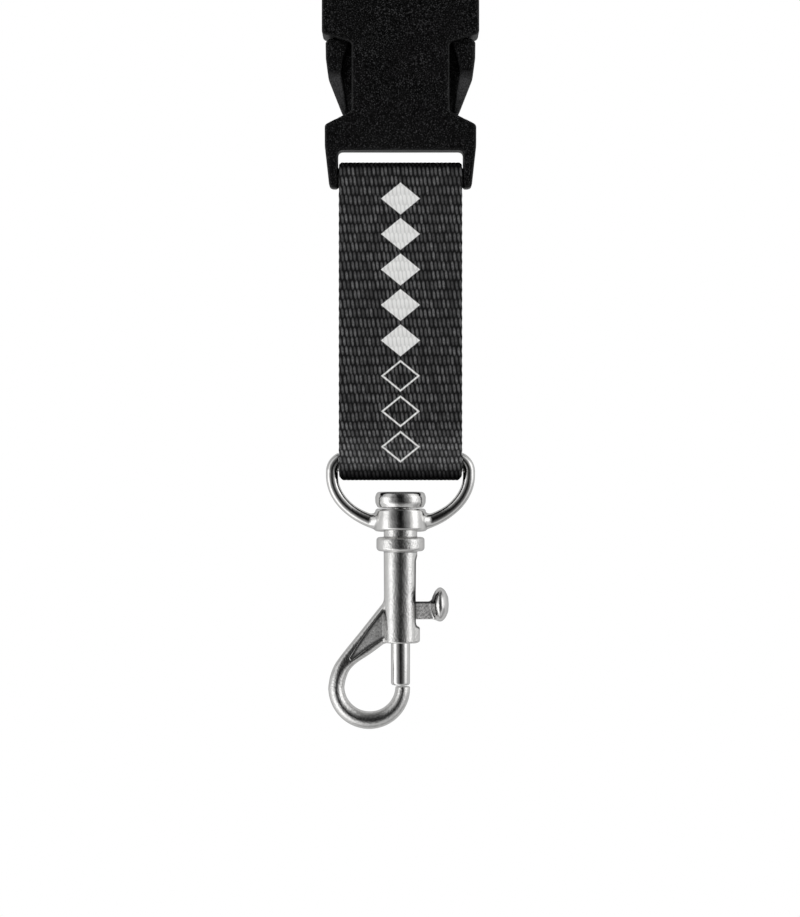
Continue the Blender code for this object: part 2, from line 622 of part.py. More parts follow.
def build_spring():
    """Compression spring between the top of the bore and the plunger."""
    wire, coil = 0.22 * MM, 1.62 * MM
    top = below(BORE_TOP_DROP) - 0.1 * MM - wire
    low = below(BOLT_TOP_DROP) + 0.15 * MM + wire
    turns, per_turn = 7, 14
    count = turns * per_turn
    path = []
    for i in range(count + 1):
        t = i / count
        # the end turns lie flat and close together
        lift = 0.5 - 0.5 * math.cos(math.pi * t)
        lift = 0.35 * lift + 0.65 * t
        a = 2 * math.pi * turns * t
        path.append((coil * math.cos(a), coil * math.sin(a), low + (top - low) * lift))
    return finish(tube("spring", path, wire, sides=1), "bolt_spring")


# ---- assembly -----------------------------------------------------------------------
def pivot(name, location, parent=None):
    empty = bpy.data.objects.new(name, None)
    empty.empty_display_size = 0.004
    place(empty, PARTS)
    empty.matrix_world = Matrix.Translation(location)
    if parent:
        hang(empty, parent)
    return empty


def hang(obj, parent):
    """Parent an object and keep it where it is."""
    bpy.context.view_layer.update()
    obj.parent = parent
    obj.matrix_parent_inverse = parent.matrix_world.inverted()


def main():
    plug = build_plug()
    arms = {-1: build_latch_arm("latch_arm_left", -1), 1: build_latch_arm("latch_arm_right", 1)}
    socket = build_socket()
    strap = build_strap()
    lap_outer = FLAP_SHIFT + STRAP_THICK / 2 + 0.25 * MM
    lap_inner = -STRAP_THICK / 2 - 0.25 * MM
    seams = [build_seam("seam_thread_outer", lap_outer),
             build_seam("seam_thread_inner", lap_inner)]
    eye = build_eye()
    cap = build_post_cap()
    snap = build_snap_body()
    plunger = build_plunger()
    stud = build_thumb_stud()
    spring = build_spring()

    root = pivot("plug_origin", (0, 0, 0))
    hang(plug, root)
    for sign, label in ((-1, "left"), (1, "right")):
        joint = pivot("latch_pivot_" + label,
                      (sign * ARM_HINGE_X, 0, MOUTH_Z + ARM_HINGE_RISE), root)
        hang(arms[sign], joint)
    release = pivot("release_slide", (0, 0, MOUTH_Z), root)
    hang(socket, release)
    strap_pivot = pivot("strap_pivot", (0, 0, below(BAR_DROP)), release)
    for obj in [strap] + seams:
        hang(obj, strap_pivot)
    eye_pivot = pivot("eye_pivot", (0, 0, below(EYE_BAR_DROP)), strap_pivot)
    hang(eye, eye_pivot)
    swivel = pivot("snap_swivel", (0, 0, below(HUB_TOP_DROP)), eye_pivot)
    for obj in (cap, snap):
        hang(obj, swivel)
    slide = pivot("bolt_slide", (0, 0, below(STUD_DROP)), swivel)
    for obj in (plunger, stud, spring):
        hang(obj, slide)


main()
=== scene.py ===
"""Looks of the lanyard end: moulded buckle, woven strap, nickel swivel eye and bolt snap.

Shapes are worked out in millimetres in the frame's own axes: the lanyard hangs along
-Z and its front faces -Y. Drops are measured down from the socket's mouth.
"""
import math

import bpy
import numpy as np
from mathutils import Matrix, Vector


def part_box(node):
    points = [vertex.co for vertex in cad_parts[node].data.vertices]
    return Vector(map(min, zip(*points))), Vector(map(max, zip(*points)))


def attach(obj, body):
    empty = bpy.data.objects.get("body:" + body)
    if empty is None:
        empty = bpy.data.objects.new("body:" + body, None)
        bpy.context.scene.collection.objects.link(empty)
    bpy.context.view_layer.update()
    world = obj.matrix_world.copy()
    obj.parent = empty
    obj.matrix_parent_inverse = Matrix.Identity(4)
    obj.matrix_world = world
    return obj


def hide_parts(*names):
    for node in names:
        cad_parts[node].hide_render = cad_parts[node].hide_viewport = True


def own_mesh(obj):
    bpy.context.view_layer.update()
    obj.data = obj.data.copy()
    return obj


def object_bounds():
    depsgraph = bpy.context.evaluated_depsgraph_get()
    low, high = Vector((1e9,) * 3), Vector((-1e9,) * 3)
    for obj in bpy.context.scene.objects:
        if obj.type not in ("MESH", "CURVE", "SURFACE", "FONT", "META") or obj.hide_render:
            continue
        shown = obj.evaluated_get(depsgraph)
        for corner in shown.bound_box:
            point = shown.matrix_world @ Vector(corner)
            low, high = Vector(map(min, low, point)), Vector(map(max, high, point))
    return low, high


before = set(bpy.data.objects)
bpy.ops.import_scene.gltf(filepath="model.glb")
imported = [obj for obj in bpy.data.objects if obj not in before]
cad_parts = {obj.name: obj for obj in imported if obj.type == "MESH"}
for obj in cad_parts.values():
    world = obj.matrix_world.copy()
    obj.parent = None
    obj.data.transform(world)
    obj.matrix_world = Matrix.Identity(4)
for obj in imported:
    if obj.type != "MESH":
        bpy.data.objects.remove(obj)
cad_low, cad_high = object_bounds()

MM = 0.001
MOUTH = round(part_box("socket_body")[1].z / MM, 3)


# ---- fields: signed distances in mm, negative inside ----
def both(a, b, r=0.0):
    """Intersection of two fields with its edge rounded to radius r."""
    if np.ndim(r) == 0 and r <= 0:
        return np.maximum(a, b)
    u, v = np.maximum(r + a, 0), np.maximum(r + b, 0)
    return np.minimum(-r, np.maximum(a, b)) + np.sqrt(u * u + v * v)


def either(a, b, r=0.0):
    """Union of two fields with a fillet of radius r."""
    if r <= 0:
        return np.minimum(a, b)
    u, v = np.maximum(r - a, 0), np.maximum(r - b, 0)
    return np.maximum(r, np.minimum(a, b)) - np.sqrt(u * u + v * v)


def without(a, b, r=0.0):
    return both(a, -b, r)


def unit(value):
    """Value held between 0 and 1."""
    return np.clip(value, 0, 1)


def rounded(corners, steps=5):
    """Closed outline from (across, up, radius) corners, each turned on its radius."""
    out = []
    n = len(corners)
    for i, (x, z, r) in enumerate(corners):
        ax, az = corners[i - 1][0] - x, corners[i - 1][1] - z
        bx, bz = corners[(i + 1) % n][0] - x, corners[(i + 1) % n][1] - z
        la, lb = math.hypot(ax, az), math.hypot(bx, bz)
        ax, az, bx, bz = ax / la, az / la, bx / lb, bz / lb
        half = math.acos(max(-1.0, min(1.0, ax * bx + az * bz))) / 2
        if r <= 0 or half > 1.55:
            out.append((x, z))
            continue
        cut = min(r / math.tan(half), 0.49 * la, 0.49 * lb)
        r = cut * math.tan(half)
        mx, mz = ax + bx, az + bz
        lm = math.hypot(mx, mz)
        cx, cz = x + mx / lm * r / math.sin(half), z + mz / lm * r / math.sin(half)
        a0 = math.atan2(z + az * cut - cz, x + ax * cut - cx)
        a1 = math.atan2(z + bz * cut - cz, x + bx * cut - cx)
        turn = (a1 - a0 + math.pi) % (2 * math.pi) - math.pi
        for k in range(steps + 1):
            a = a0 + turn * k / steps
            out.append((cx + r * math.cos(a), cz + r * math.sin(a)))
    return out


def half_outline(corners):
    """Right half of a symmetric outline, listed top to bottom, for use with |across|."""
    return rounded([(-1.0, corners[0][1], 0.0)] + corners + [(-1.0, corners[-1][1], 0.0)])


def outline(px, pz, points, closed=True):
    """Distance to an outline; an open one is the right half of a symmetric shape."""
    near, inside = np.inf, False
    for (ax, az), (bx, bz) in zip(points, points[1:] + (points[:1] if closed else [])):
        ex, ez = bx - ax, bz - az
        square = ex * ex + ez * ez
        if square < 1e-12:
            continue
        wx, wz = px - ax, pz - az
        t = unit((wx * ex + wz * ez) / square)
        dx, dz = wx - t * ex, wz - t * ez
        near = np.minimum(near, dx * dx + dz * dz)
        if ez:
            inside = inside ^ (((az > pz) != (bz > pz)) & (px < ex * wz / ez + ax))
    return np.where(inside, -1.0, 1.0) * np.sqrt(near)


def plane_tube(x, y, z, path, radii, squeeze=1.0):
    """Round bar whose path lies in the plane y = 0; squeeze below 1 makes it deeper in Y."""
    score, near, width = np.inf, 0.0, 0.0
    for (ax, az), (bx, bz), ra, rb in zip(path, path[1:], radii, radii[1:]):
        ex, ez = bx - ax, bz - az
        wx, wz = x - ax, z - az
        t = unit((wx * ex + wz * ez) / (ex * ex + ez * ez))
        d = np.sqrt((wx - t * ex) ** 2 + (wz - t * ez) ** 2)
        r = ra + (rb - ra) * t
        better = d - r < score
        score, near, width = (np.where(better, new, old) for new, old in (
            (d - r, score), (d, near), (r, width)))
    return np.sqrt(near * near + (y * squeeze) ** 2) - width


def arc(cx, cz, radius, start, end, count):
    """Points on an arc, angles in degrees, both ends included."""
    angles = np.radians(np.linspace(start, end, count + 1))
    return [(cx + radius * math.cos(a), cz + radius * math.sin(a)) for a in angles]


def through(points, count):
    """Smooth curve through rows of numbers (Catmull-Rom), count samples a span."""
    p = np.array(points, float)
    p = np.vstack([2 * p[0] - p[1], p, 2 * p[-1] - p[-2]])
    out = []
    for i in range(1, len(p) - 2):
        for t in np.arange(count) / count:
            out.append(0.5 * (2 * p[i] + (p[i + 1] - p[i - 1]) * t
                              + (2 * p[i - 1] - 5 * p[i] + 4 * p[i + 1] - p[i + 2]) * t ** 2
                              + (3 * p[i] - p[i - 1] - 3 * p[i + 1] + p[i + 2]) * t ** 3))
    out.append(p[-2])
    return np.array(out)


# ---- meshes ----
def linked(name, data):
    obj = bpy.data.objects.new(name, data)
    bpy.context.scene.collection.objects.link(obj)
    return obj


def mesh_object(name, verts, faces, normals=None, sharp=None, **values):
    """Smooth object from millimetre vertices and faces, with a value a vertex by name."""
    mesh = bpy.data.meshes.new(name)
    mesh.from_pydata((np.asarray(verts) * MM).tolist(), [], faces)
    mesh.update()
    mesh.shade_smooth()
    if sharp:
        mesh.set_sharp_from_angle(angle=math.radians(sharp))
    if normals is not None:
        mesh.validate()
        mesh.normals_split_custom_set_from_vertices(normals.astype(np.float32))
    for label, value in values.items():
        vector = value.ndim > 1
        layer = mesh.attributes.new(label, "FLOAT_VECTOR" if vector else "FLOAT", "POINT")
        layer.data.foreach_set("vector" if vector else "value",
                               value.astype(np.float32).ravel())
    return linked(name, mesh)


def slope(field, p, e=0.01):
    """A field's gradient at points, by central differences."""
    x, y, z = p.T
    return np.stack([field(x + e, y, z) - field(x - e, y, z),
                     field(x, y + e, z) - field(x, y - e, z),
                     field(x, y, z + e) - field(x, y, z - e)], 1) / (2 * e)


def settle(field, p, step, e=0.004):
    """Points moved onto a field's surface."""
    x, y, z = p.T
    base = field(x, y, z)
    grad = np.stack([field(x + e, y, z), field(x, y + e, z), field(x, y, z + e)], 1)
    grad = (grad - base[:, None]) / e
    move = grad * (base / np.maximum((grad * grad).sum(1), 0.05))[:, None]
    length = np.linalg.norm(move, axis=1, keepdims=True)
    return p - move * np.minimum(1, 0.5 * step / np.maximum(length, 1e-9))


def field_object(name, field, low, high, step, **floats):
    """Mesh of a field's surface: one vertex a grid cell, then drawn onto the surface."""
    axes = [np.arange(l - 2.3 * step, h + 3 * step, step) for l, h in zip(low, high)]
    x, y, z = np.ix_(*axes)
    value = np.broadcast_to(field(x, y, z), [len(a) for a in axes])
    inside = value < 0
    corners = [(i, j, k) for i in (0, 1) for j in (0, 1) for k in (0, 1)]
    size = [n - 1 for n in inside.shape]

    def part(a, c):
        return a[c[0]:c[0] + size[0], c[1]:c[1] + size[1], c[2]:c[2] + size[2]]

    count = sum(part(inside, c).astype(np.int8) for c in corners)
    cells = np.argwhere((count > 0) & (count < 8))
    index = np.full(size, -1, np.int64)
    index[tuple(cells.T)] = np.arange(len(cells))
    total, hits = np.zeros((len(cells), 3)), np.zeros(len(cells))
    for a, axis in [(a, axis) for a in corners for axis in range(3) if not a[axis]]:
        b = list(a)
        b[axis] = 1
        va, vb = (value[tuple((cells + c).T)] for c in (a, b))
        crosses = (va < 0) != (vb < 0)
        t = np.where(crosses, va / np.where(crosses, va - vb, 1), 0)
        point = np.tile(np.array(a, float), (len(cells), 1))
        point[:, axis] += t
        total[crosses] += point[crosses]
        hits += crosses
    verts = (cells + total / hits[:, None]) * step + [a[0] for a in axes]

    faces = []
    for axis in range(3):
        u, v = (axis + 1) % 3, (axis + 2) % 3
        at = np.argwhere(np.diff(inside, axis=axis))
        at = at[(at[:, u] > 0) & (at[:, v] > 0)
                & (at[:, u] < size[u]) & (at[:, v] < size[v])]
        across, up = np.eye(3, dtype=int)[[u, v]]
        quad = np.stack([index[tuple((at - back).T)]
                         for back in (across + up, up, 0 * up, across)], 1)
        faces.append(np.where(inside[tuple(at.T)][:, None], quad, quad[:, ::-1]))
    faces = np.vstack(faces)

    for _ in range(3):
        verts = settle(field, verts, step)
    grad = slope(field, verts)
    normals = grad / np.maximum(np.linalg.norm(grad, axis=1, keepdims=True), 1e-9)
    # how sharply the surface turns: positive on outer edges, negative in inner corners
    e = 0.3
    x, y, z = verts.T
    around = (field(x + e, y, z) + field(x - e, y, z) + field(x, y + e, z)
              + field(x, y - e, z) + field(x, y, z + e) + field(x, y, z - e))
    values = {label: work(x, y, z) for label, work in floats.items()}
    return mesh_object(name, verts, faces.tolist(), normals,
                       turn=np.clip(around / (e * e), -4, 4), **values)


def lathe(name, profile, steps=96):
    """Turn a closed-off (radius, height) profile, listed from the top down, about Z."""
    pts = np.array(profile, float)
    ring = pts[1:-1]
    angles = np.arange(steps) * 2 * math.pi / steps
    verts = np.stack([ring[:, None, 0] * np.cos(angles), ring[:, None, 0] * np.sin(angles),
                      np.repeat(ring[:, 1:2], steps, 1)], 2).reshape(-1, 3)
    verts = np.vstack([verts, [[0, 0, pts[0, 1]], [0, 0, pts[-1, 1]]]])
    n = len(ring)
    pairs = [(j, (j + 1) % steps) for j in range(steps)]
    faces = [(a + j, a + steps + j, a + steps + k, a + k)
             for a in range(0, (n - 1) * steps, steps) for j, k in pairs]
    top, low, last = n * steps, n * steps + 1, (n - 1) * steps
    caps = [cap for j, k in pairs for cap in ((top, j, k), (low, last + k, last + j))]
    legs = np.diff(pts, axis=0)
    size = np.linalg.norm(legs, axis=1)
    (ar, ah), (br, bh) = legs[:-1].T, legs[1:].T
    bend = (ah * br - ar * bh) / np.maximum(size[:-1] * size[1:], 1e-9)
    bend = np.clip(bend / np.maximum((size[:-1] + size[1:]) / 2, 0.05), -4, 4)
    turn = np.r_[np.repeat(bend, steps), 0, 0]
    return mesh_object(name, verts, faces + caps, sharp=50, turn=turn)


# ---- materials ----
class Value:
    """A node's output, which sums and products turn into further nodes."""

    def __init__(self, nodes, socket):
        self.nodes, self.socket = nodes, socket

    def __abs__(self):
        return self.nodes.math("ABSOLUTE", self)


for word, operation in (("add", "ADD"), ("sub", "SUBTRACT"), ("mul", "MULTIPLY"),
                        ("truediv", "DIVIDE"), ("pow", "POWER"), ("mod", "MODULO")):
    setattr(Value, f"__{word}__", lambda a, b, do=operation: a.nodes.math(do, a, b))
    setattr(Value, f"__r{word}__", lambda a, b, do=operation: a.nodes.math(do, b, a))


class Nodes:
    """Short hand for building the node tree of a material or of the world."""

    def __init__(self, owner):
        owner.use_nodes = True
        self.owner, self.tree = owner, owner.node_tree

    def put(self, socket, value):
        if isinstance(value, Value):
            self.tree.links.new(value.socket, socket)
        elif socket.type == "RGBA":
            socket.default_value = (*value, 1.0)
        else:
            socket.default_value = value

    def add(self, kind, *values, **props):
        """New node, with properties by name and its first inputs in order."""
        node = self.tree.nodes.new(kind)
        for key, value in props.items():
            setattr(node, key, value)
        for socket, value in zip(node.inputs, values):
            self.put(socket, value)
        return node

    def out(self, kind, *values, pick=0, **props):
        return Value(self, self.add(kind, *values, **props).outputs[pick])

    def math(self, operation, *values):
        return self.out("ShaderNodeMath", *values, operation=operation)

    def split(self, vector):
        return [Value(self, end) for end in self.add("ShaderNodeSeparateXYZ", vector).outputs]

    def mix(self, factor, a, b):
        node = self.add("ShaderNodeMix", factor, data_type="RGBA")
        self.put(node.inputs[6], a)
        self.put(node.inputs[7], b)
        return Value(self, node.outputs[2])

    def span(self, value, low, high, out_low=0.0, out_high=1.0):
        return self.out("ShaderNodeMapRange", value, low, high, out_low, out_high, clamp=True)

    def noise(self, vector, scale, detail=3.0, roughness=0.55):
        node = self.add("ShaderNodeTexNoise", vector)
        for name, value in (("Scale", scale), ("Detail", detail), ("Roughness", roughness)):
            self.put(node.inputs[name], value)
        return Value(self, node.outputs["Fac"])

    def stretched(self, vector, scale, turn=(0.0, 0.0, 0.0)):
        node = self.add("ShaderNodeMapping", vector)
        self.put(node.inputs["Scale"], scale)
        self.put(node.inputs["Rotation"], turn)
        return Value(self, node.outputs[0])

    def where(self):
        return self.out("ShaderNodeTexCoord", pick="Object")

    def attribute(self, name, pick="Fac"):
        return self.out("ShaderNodeAttribute", pick=pick, attribute_name=name)

    def bump(self, height, distance, strength=1.0, under=None):
        node = self.add("ShaderNodeBump")
        for name, value in (("Strength", strength), ("Distance", distance),
                            ("Height", height), ("Normal", under)):
            if value is not None:
                self.put(node.inputs[name], value)
        return Value(self, node.outputs[0])

    def set(self, **values):
        """Set the shader's inputs and give back the material."""
        shader = self.tree.nodes["Principled BSDF"]
        for key, value in values.items():
            self.put(shader.inputs[key.replace("_", " ")], value)
        return self.owner


def material(name):
    return Nodes(bpy.data.materials.new(name))


def moulded_plastic():
    """Near-black acetal with a fine spark-eroded grain, hairline scratches and rubbed edges."""
    n = material("moulded_acetal")
    painted_light_grey = (0.062, 0.062, 0.064)
    at = n.where()
    grain = n.noise(at, 3300.0, 2.0, 0.6)
    cloud = n.noise(at, 160.0, 3.0)
    speck = n.span(n.noise(at, 3900.0, 1.0, 0.5), 0.56, 0.69)
    scratches = []
    for turn, scale in (((0.3, 0.5, 0.7), 520.0), ((1.1, -0.6, 0.2), 430.0)):
        lines = n.noise(n.stretched(at, (1.0, 1.0, 0.03), turn), scale, 1.0)
        thin = 1.0 - n.span(abs(lines - 0.5), 0.0, 0.012)
        scratches.append(thin * n.span(n.noise(at, 210.0 + scale / 9, 1.0), 0.56, 0.7))
    scratch = n.math("MAXIMUM", *scratches)
    rub = n.span(n.attribute("turn"), 0.5, 2.2) * n.span(cloud, 0.3, 0.65)
    # painted highlight: the canted facet of each latch is painted lighter grey where it catches
    # the side light
    worn = n.attribute("worn") * n.span(grain, 0.38, 0.62, 0.25, 1.0)
    colour = n.mix(n.span(grain, 0.42, 0.58), (0.0001, 0.0001, 0.0001), (0.0036, 0.0036, 0.0038))
    # painted light: grain specks are mixed to a lighter grey as glints, and the latches' canted
    # facets to the same grey as a highlight
    for share, shade in ((speck * n.span(cloud, 0.3, 0.7, 0.55, 0.8), painted_light_grey), (worn, painted_light_grey),
                         (scratch * 0.3, (0.05, 0.05, 0.052)),
                         (rub * 0.2, (0.025, 0.025, 0.026))):
        colour = n.mix(share, colour, shade)
    normal = n.bump(scratch * -1.0, 0.00003, 0.4, n.bump(grain, 0.00010, 0.8))
    return n.set(Base_Color=colour, Roughness=n.span(grain, 0.3, 0.7, 0.34, 0.50) - rub * 0.08,
                 Specular_IOR_Level=0.19, Normal=normal)


def nickel(name, grain, waviness, tint=(0.86, 0.855, 0.845)):
    """Polished nickel plate over a die casting: faint waves, fine pits, and hollows made duller
    and painted darker as shade.

    The mesh's "raw" attribute marks faces left as cast; its other attribute marks edges painted
    near black as shade.
    """
    n = material(name)
    at = n.where()
    waves = n.noise(at, 330.0, 2.0)
    ripple = n.noise(at, 900.0, 3.0, 0.6)
    pits = n.noise(at, 2300.0, 3.0, 0.65)
    smear = n.noise(at, 520.0, 4.0, 0.6)
    hollow = n.span(n.attribute("turn"), -1.6, -0.3, 1.0, 0.0)
    raw, grime = n.attribute("raw"), n.attribute("grime")
    rough = (n.span(smear, 0.35, 0.75, 0.03, 0.10) + n.span(pits, 0.55, 0.75) * (0.12 * grain)
             + hollow * 0.10 + raw * 0.26)
    colour = tint
    # painted shade: inner corners are darkened in colour, besides being rougher
    for share, shade in ((n.span(smear, 0.3, 0.8), 0.92), (hollow * 0.45, 0.45),
                         (raw * n.span(pits, 0.36, 0.58, 0.6, 0.0), 0.22)):
        colour = n.mix(share, colour, tuple(c * shade for c in tint))
    # painted shade: the marked slot edges, pocket rims and stud stem top are darkened almost to
    # black
    colour = n.mix(grime * 0.94, colour, (0.012, 0.012, 0.012))
    normal = n.bump(waves, 0.0004, 0.10 * waviness)
    normal = n.bump(ripple, 0.00008, 0.22 * waviness, normal)
    normal = n.bump(pits, 0.00010, raw * 0.6 + grain, normal)
    return n.set(Base_Color=colour, Roughness=rough, Metallic=1.0 - raw * 0.4, Normal=normal)


def spring_steel():
    n = material("drawn_spring_steel")
    marks = n.noise(n.stretched(n.where(), (1.0, 1.0, 4.0)), 1500.0, 3.0)
    return n.set(Base_Color=n.mix(n.span(marks, 0.3, 0.7), (0.42, 0.42, 0.43), (0.6, 0.6, 0.6)),
                 Roughness=n.span(marks, 0.3, 0.7, 0.22, 0.38), Metallic=1.0,
                 Normal=n.bump(marks, 0.00003, 0.4))


# one woven bump: its pitch across, half sizes in pitches, and slant
PICK_WIDE, PICK_FAT, PICK_LONG, PICK_SLANT = 0.84, 0.37, 0.53, 0.25
PICK_TALL, PICK_TALL_LOW = 1.91, 1.36        # pitch down the strap, and under the eye's bar
YARN_PITCH = 0.141

# print: a column of lozenges down the front ply, the upper ones solid
PRINT_TOP, PRINT_END = 37.1, 94.5            # drops
LOZENGES, SOLID = 8, 5
LOZENGE_WIDE, LOZENGE_TALL = 3.97, 3.25      # half sizes
OUTLINE_WIDTH = 0.36


def webbing_material():
    """Black polyester webbing: each raised pick catches the light, gaps fall dark."""
    n = material("woven_polyester")
    at = n.where()
    across, drop, outer = n.split(n.attribute("strip", "Vector"))
    phase, tone, fade = n.attribute("phase"), n.attribute("tone"), n.attribute("fade")
    fine = n.noise(n.stretched(at, (1.0, 1.0, 0.3)), 6500.0, 2.0, 0.7)
    fuzz = n.noise(at, 3800.0, 3.0, 0.7)

    # the picks, from this row and the row the point leans towards
    row = n.math("FLOOR", phase)
    down = n.math("FRACT", phase) - 0.5
    lean = n.math("SIGN", down)
    picks = []
    for own, off in ((row, down), (row + lean, down - lean)):
        place = across / PICK_WIDE + abs(own) % 2.0 * 0.5 - off * PICK_SLANT
        col = n.math("ROUND", place)
        dice = n.add("ShaderNodeTexWhiteNoise", n.out("ShaderNodeCombineXYZ", own, col),
                     noise_dimensions="2D")
        # no two picks lie quite alike
        rolls = n.split(Value(n, dice.outputs["Color"]))
        du = place - col + n.span(rolls[1], 0.0, 1.0, -0.08, 0.08)
        off = off + n.span(rolls[2], 0.0, 1.0, -0.07, 0.07)
        h = 1.0 - ((abs(du) / PICK_FAT) ** 2.0 + (abs(off) / PICK_LONG) ** 2.6)
        picks.append((n.math("SQRT", n.math("MAXIMUM", h, 0.0)),
                      n.span(Value(n, dice.outputs["Value"]), 0.0, 1.0, 0.5, 1.55)))
    (height, strength), (h, shine) = picks
    higher = n.math("GREATER_THAN", h, height)
    strength = shine * higher + strength * (1.0 - higher)
    height = n.math("MAXIMUM", h, height)
    lit = (height ** 1.7 * strength * n.span(fine, 0.28, 0.72, 0.6, 1.4)
           * n.span(n.noise(at, 2300.0, 2.0, 0.6), 0.3, 0.7, 0.55, 1.45))
    # painted light and shade: the lower front ply is painted paler, and both folds are painted
    # dark
    lit = (lit + tone * 0.10) * tone * fade * 0.30
    colour = n.mix(lit, (0.0010, 0.0010, 0.0012), (0.31, 0.31, 0.315))

    # print mask
    pitch = (PRINT_END - PRINT_TOP) / LOZENGES
    along = (drop - PRINT_TOP) / pitch
    local = (n.math("FRACT", along) - 0.5) * pitch
    reach = abs(across) / LOZENGE_WIDE + abs(local) / LOZENGE_TALL
    depth = LOZENGE_WIDE * LOZENGE_TALL / math.hypot(LOZENGE_WIDE, LOZENGE_TALL)
    inward = (1.0 - reach) * depth + n.span(fuzz, 0.2, 0.8, -0.05, 0.05)
    filled = n.span(inward, -0.03, 0.05)
    lined = filled - n.span(inward, OUTLINE_WIDTH - 0.03, OUTLINE_WIDTH + 0.05)
    upper = n.math("LESS_THAN", along, float(SOLID))
    ink = filled * upper + lined * (1.0 - upper)
    for test, value, limit in (("GREATER_THAN", along, 0.0), ("GREATER_THAN", outer, 0.5),
                               ("LESS_THAN", along, float(LOZENGES))):
        ink = ink * n.math(test, value, limit)
    # painted shade: the ink is greyer in the weave's gaps and whiter on the crests
    white = n.mix(n.span(height, 0.0, 0.7), (0.82, 0.82, 0.81), (0.97, 0.97, 0.96))
    colour = n.mix(ink * n.span(height, 0.0, 0.22, 0.94, 1.0), colour, white)

    ribs = n.math("SINE", across * (2 * math.pi / YARN_PITCH))
    normal = n.bump(height, 0.00012, n.span(ink, 0.0, 1.0, 0.7, 0.25), n.bump(fuzz, 0.00006, 0.4))
    normal = n.bump(ribs * (0.35 - ink * 0.2) + fine, 0.00004, 0.6, normal)
    gloss = fade * n.span(height, 0.0, 0.8, 0.06, 0.3)
    return n.set(Base_Color=colour, Roughness=n.span(fine, 0.2, 0.8, 0.62, 0.86) - ink * 0.1,
                 Specular_IOR_Level=gloss, Normal=normal,
                 Sheen_Weight=gloss * 0.2, Sheen_Roughness=0.45)


def thread_material():
    n = material("twisted_thread")
    at = n.where()
    ply = n.add("ShaderNodeTexWave", at, wave_type="BANDS", bands_direction="DIAGONAL")
    n.put(ply.inputs["Scale"], 900.0)
    n.put(ply.inputs["Distortion"], 1.5)
    twist = Value(n, ply.outputs["Fac"])
    fuzz = n.noise(at, 7000.0, 3.0, 0.7)
    return n.set(Base_Color=n.mix(twist, (0.006, 0.006, 0.0065), (0.045, 0.045, 0.047)),
                 Roughness=n.span(fuzz, 0.3, 0.7, 0.55, 0.8), Sheen_Weight=0.1,
                 Normal=n.bump(twist, 0.00007, 0.8, n.bump(fuzz, 0.00004, 0.5)))


PLASTIC = moulded_plastic()
EYE_NICKEL = nickel("eye_nickel_plate", 0.25, 1.0)
CAP_NICKEL = nickel("cap_nickel_plate", 0.3, 2.2)
SNAP_NICKEL = nickel("snap_nickel_plate", 0.8, 1.3)
BOLT_NICKEL = nickel("bolt_nickel_plate", 0.2, 0.5, (0.86, 0.855, 0.85))
STUD_NICKEL = nickel("stud_nickel_plate", 0.3, 1.4)
SPRING_STEEL = spring_steel()
WEBBING = webbing_material()
THREAD = thread_material()


def dress(obj, look, body, slot, *nodes):
    obj.data.materials.append(look)
    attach(obj, body)
    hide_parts(*nodes)


# ---- buckle socket ----
STRAP_SLOT_HALF = 12.7
BAR_DROP, BAR_RADIUS, BAR_HALF = 36.3, 1.8, 13.4
HOLLOW_HALF, HOLLOW_DEEP, HOLLOW_FLOOR = 13.6, 3.2, 24.6


def drops(points):
    """Outline corners given as (across, drop, radius), as heights."""
    return [(x, MOUTH - d, r) for x, d, r in points]


SOCKET_FRONT = half_outline(drops([
    (15.9, 0.0, 0.7), (15.9, 7.5, 0.9), (9.9, 9.3, 0.9), (9.9, 23.0, 0.9),
    (15.35, 25.7, 0.9), (15.35, 30.0, 6.0), (14.4, 38.6, 1.1)]))
SOCKET_SIDE = half_outline(drops([
    (4.8, 0.0, 0.6), (5.0, 1.6, 2.0), (4.98, 7.0, 8.0), (4.8, 13.0, 12.0),
    (4.35, 20.0, 12.0), (3.85, 25.0, 12.0), (3.1, 29.5, 10.0), (2.6, 33.0, 6.0),
    (2.5, 38.6, 0.9)]))
SLOT_HOLE = half_outline(drops([(STRAP_SLOT_HALF, 30.8, 0.9), (STRAP_SLOT_HALF, 46.0, 0.0)]))


def socket_field(x, y, z):
    crown = np.abs(y) + 0.0011 * x * x
    side = np.abs(x)
    body = both(outline(side, z, SOCKET_FRONT, False), outline(crown, z, SOCKET_SIDE, False),
                0.5)
    body = without(body, outline(side, z, SLOT_HOLE, False), 0.5)
    # hollow, open at the mouth and at both side windows
    hollow = both(both(side - HOLLOW_HALF, np.abs(y) - HOLLOW_DEEP, 0.35),
                  (MOUTH - HOLLOW_FLOOR) - z, 0.5)
    body = without(body, hollow, 0.3)
    bar = both(np.sqrt(y * y + (z - (MOUTH - BAR_DROP)) ** 2) - BAR_RADIUS,
               side - BAR_HALF, 0.1)
    return either(body, bar, 0.5)


socket = field_object("buckle_socket", socket_field, (-15.9, -5.0, MOUTH - 38.6),
                      (15.9, 5.0, MOUTH), 0.25)
dress(socket, PLASTIC, "socket", "black_plastic", "socket_body")


# ---- buckle plug ----
PLUG_FLOOR = MOUTH + 0.3
PLUG_FRONT = half_outline([(14.15, 4.0, 2.6), (15.0, -5.6, 3.0), (15.0, PLUG_FLOOR, 0.5)])
PLUG_SIDE = half_outline([(2.3, 4.0, 1.0), (2.3, -3.6, 2.0), (3.9, -6.0, 1.2),
                          (4.6, -7.6, 1.0), (4.6, PLUG_FLOOR, 0.5)])
PLUG_SLOT = half_outline([(STRAP_SLOT_HALF, 0.0, 0.9), (STRAP_SLOT_HALF, -4.8, 0.9)])
TONGUE = half_outline([(8.2, PLUG_FLOOR + 2.0, 0.0)] + drops([
    (8.2, 2.6, 0.8), (3.4, 6.0, 2.0), (3.4, 20.0, 0.8), (2.2, 21.5, 0.5)]))
ARM_HINGE = (11.0, MOUTH + 1.0)


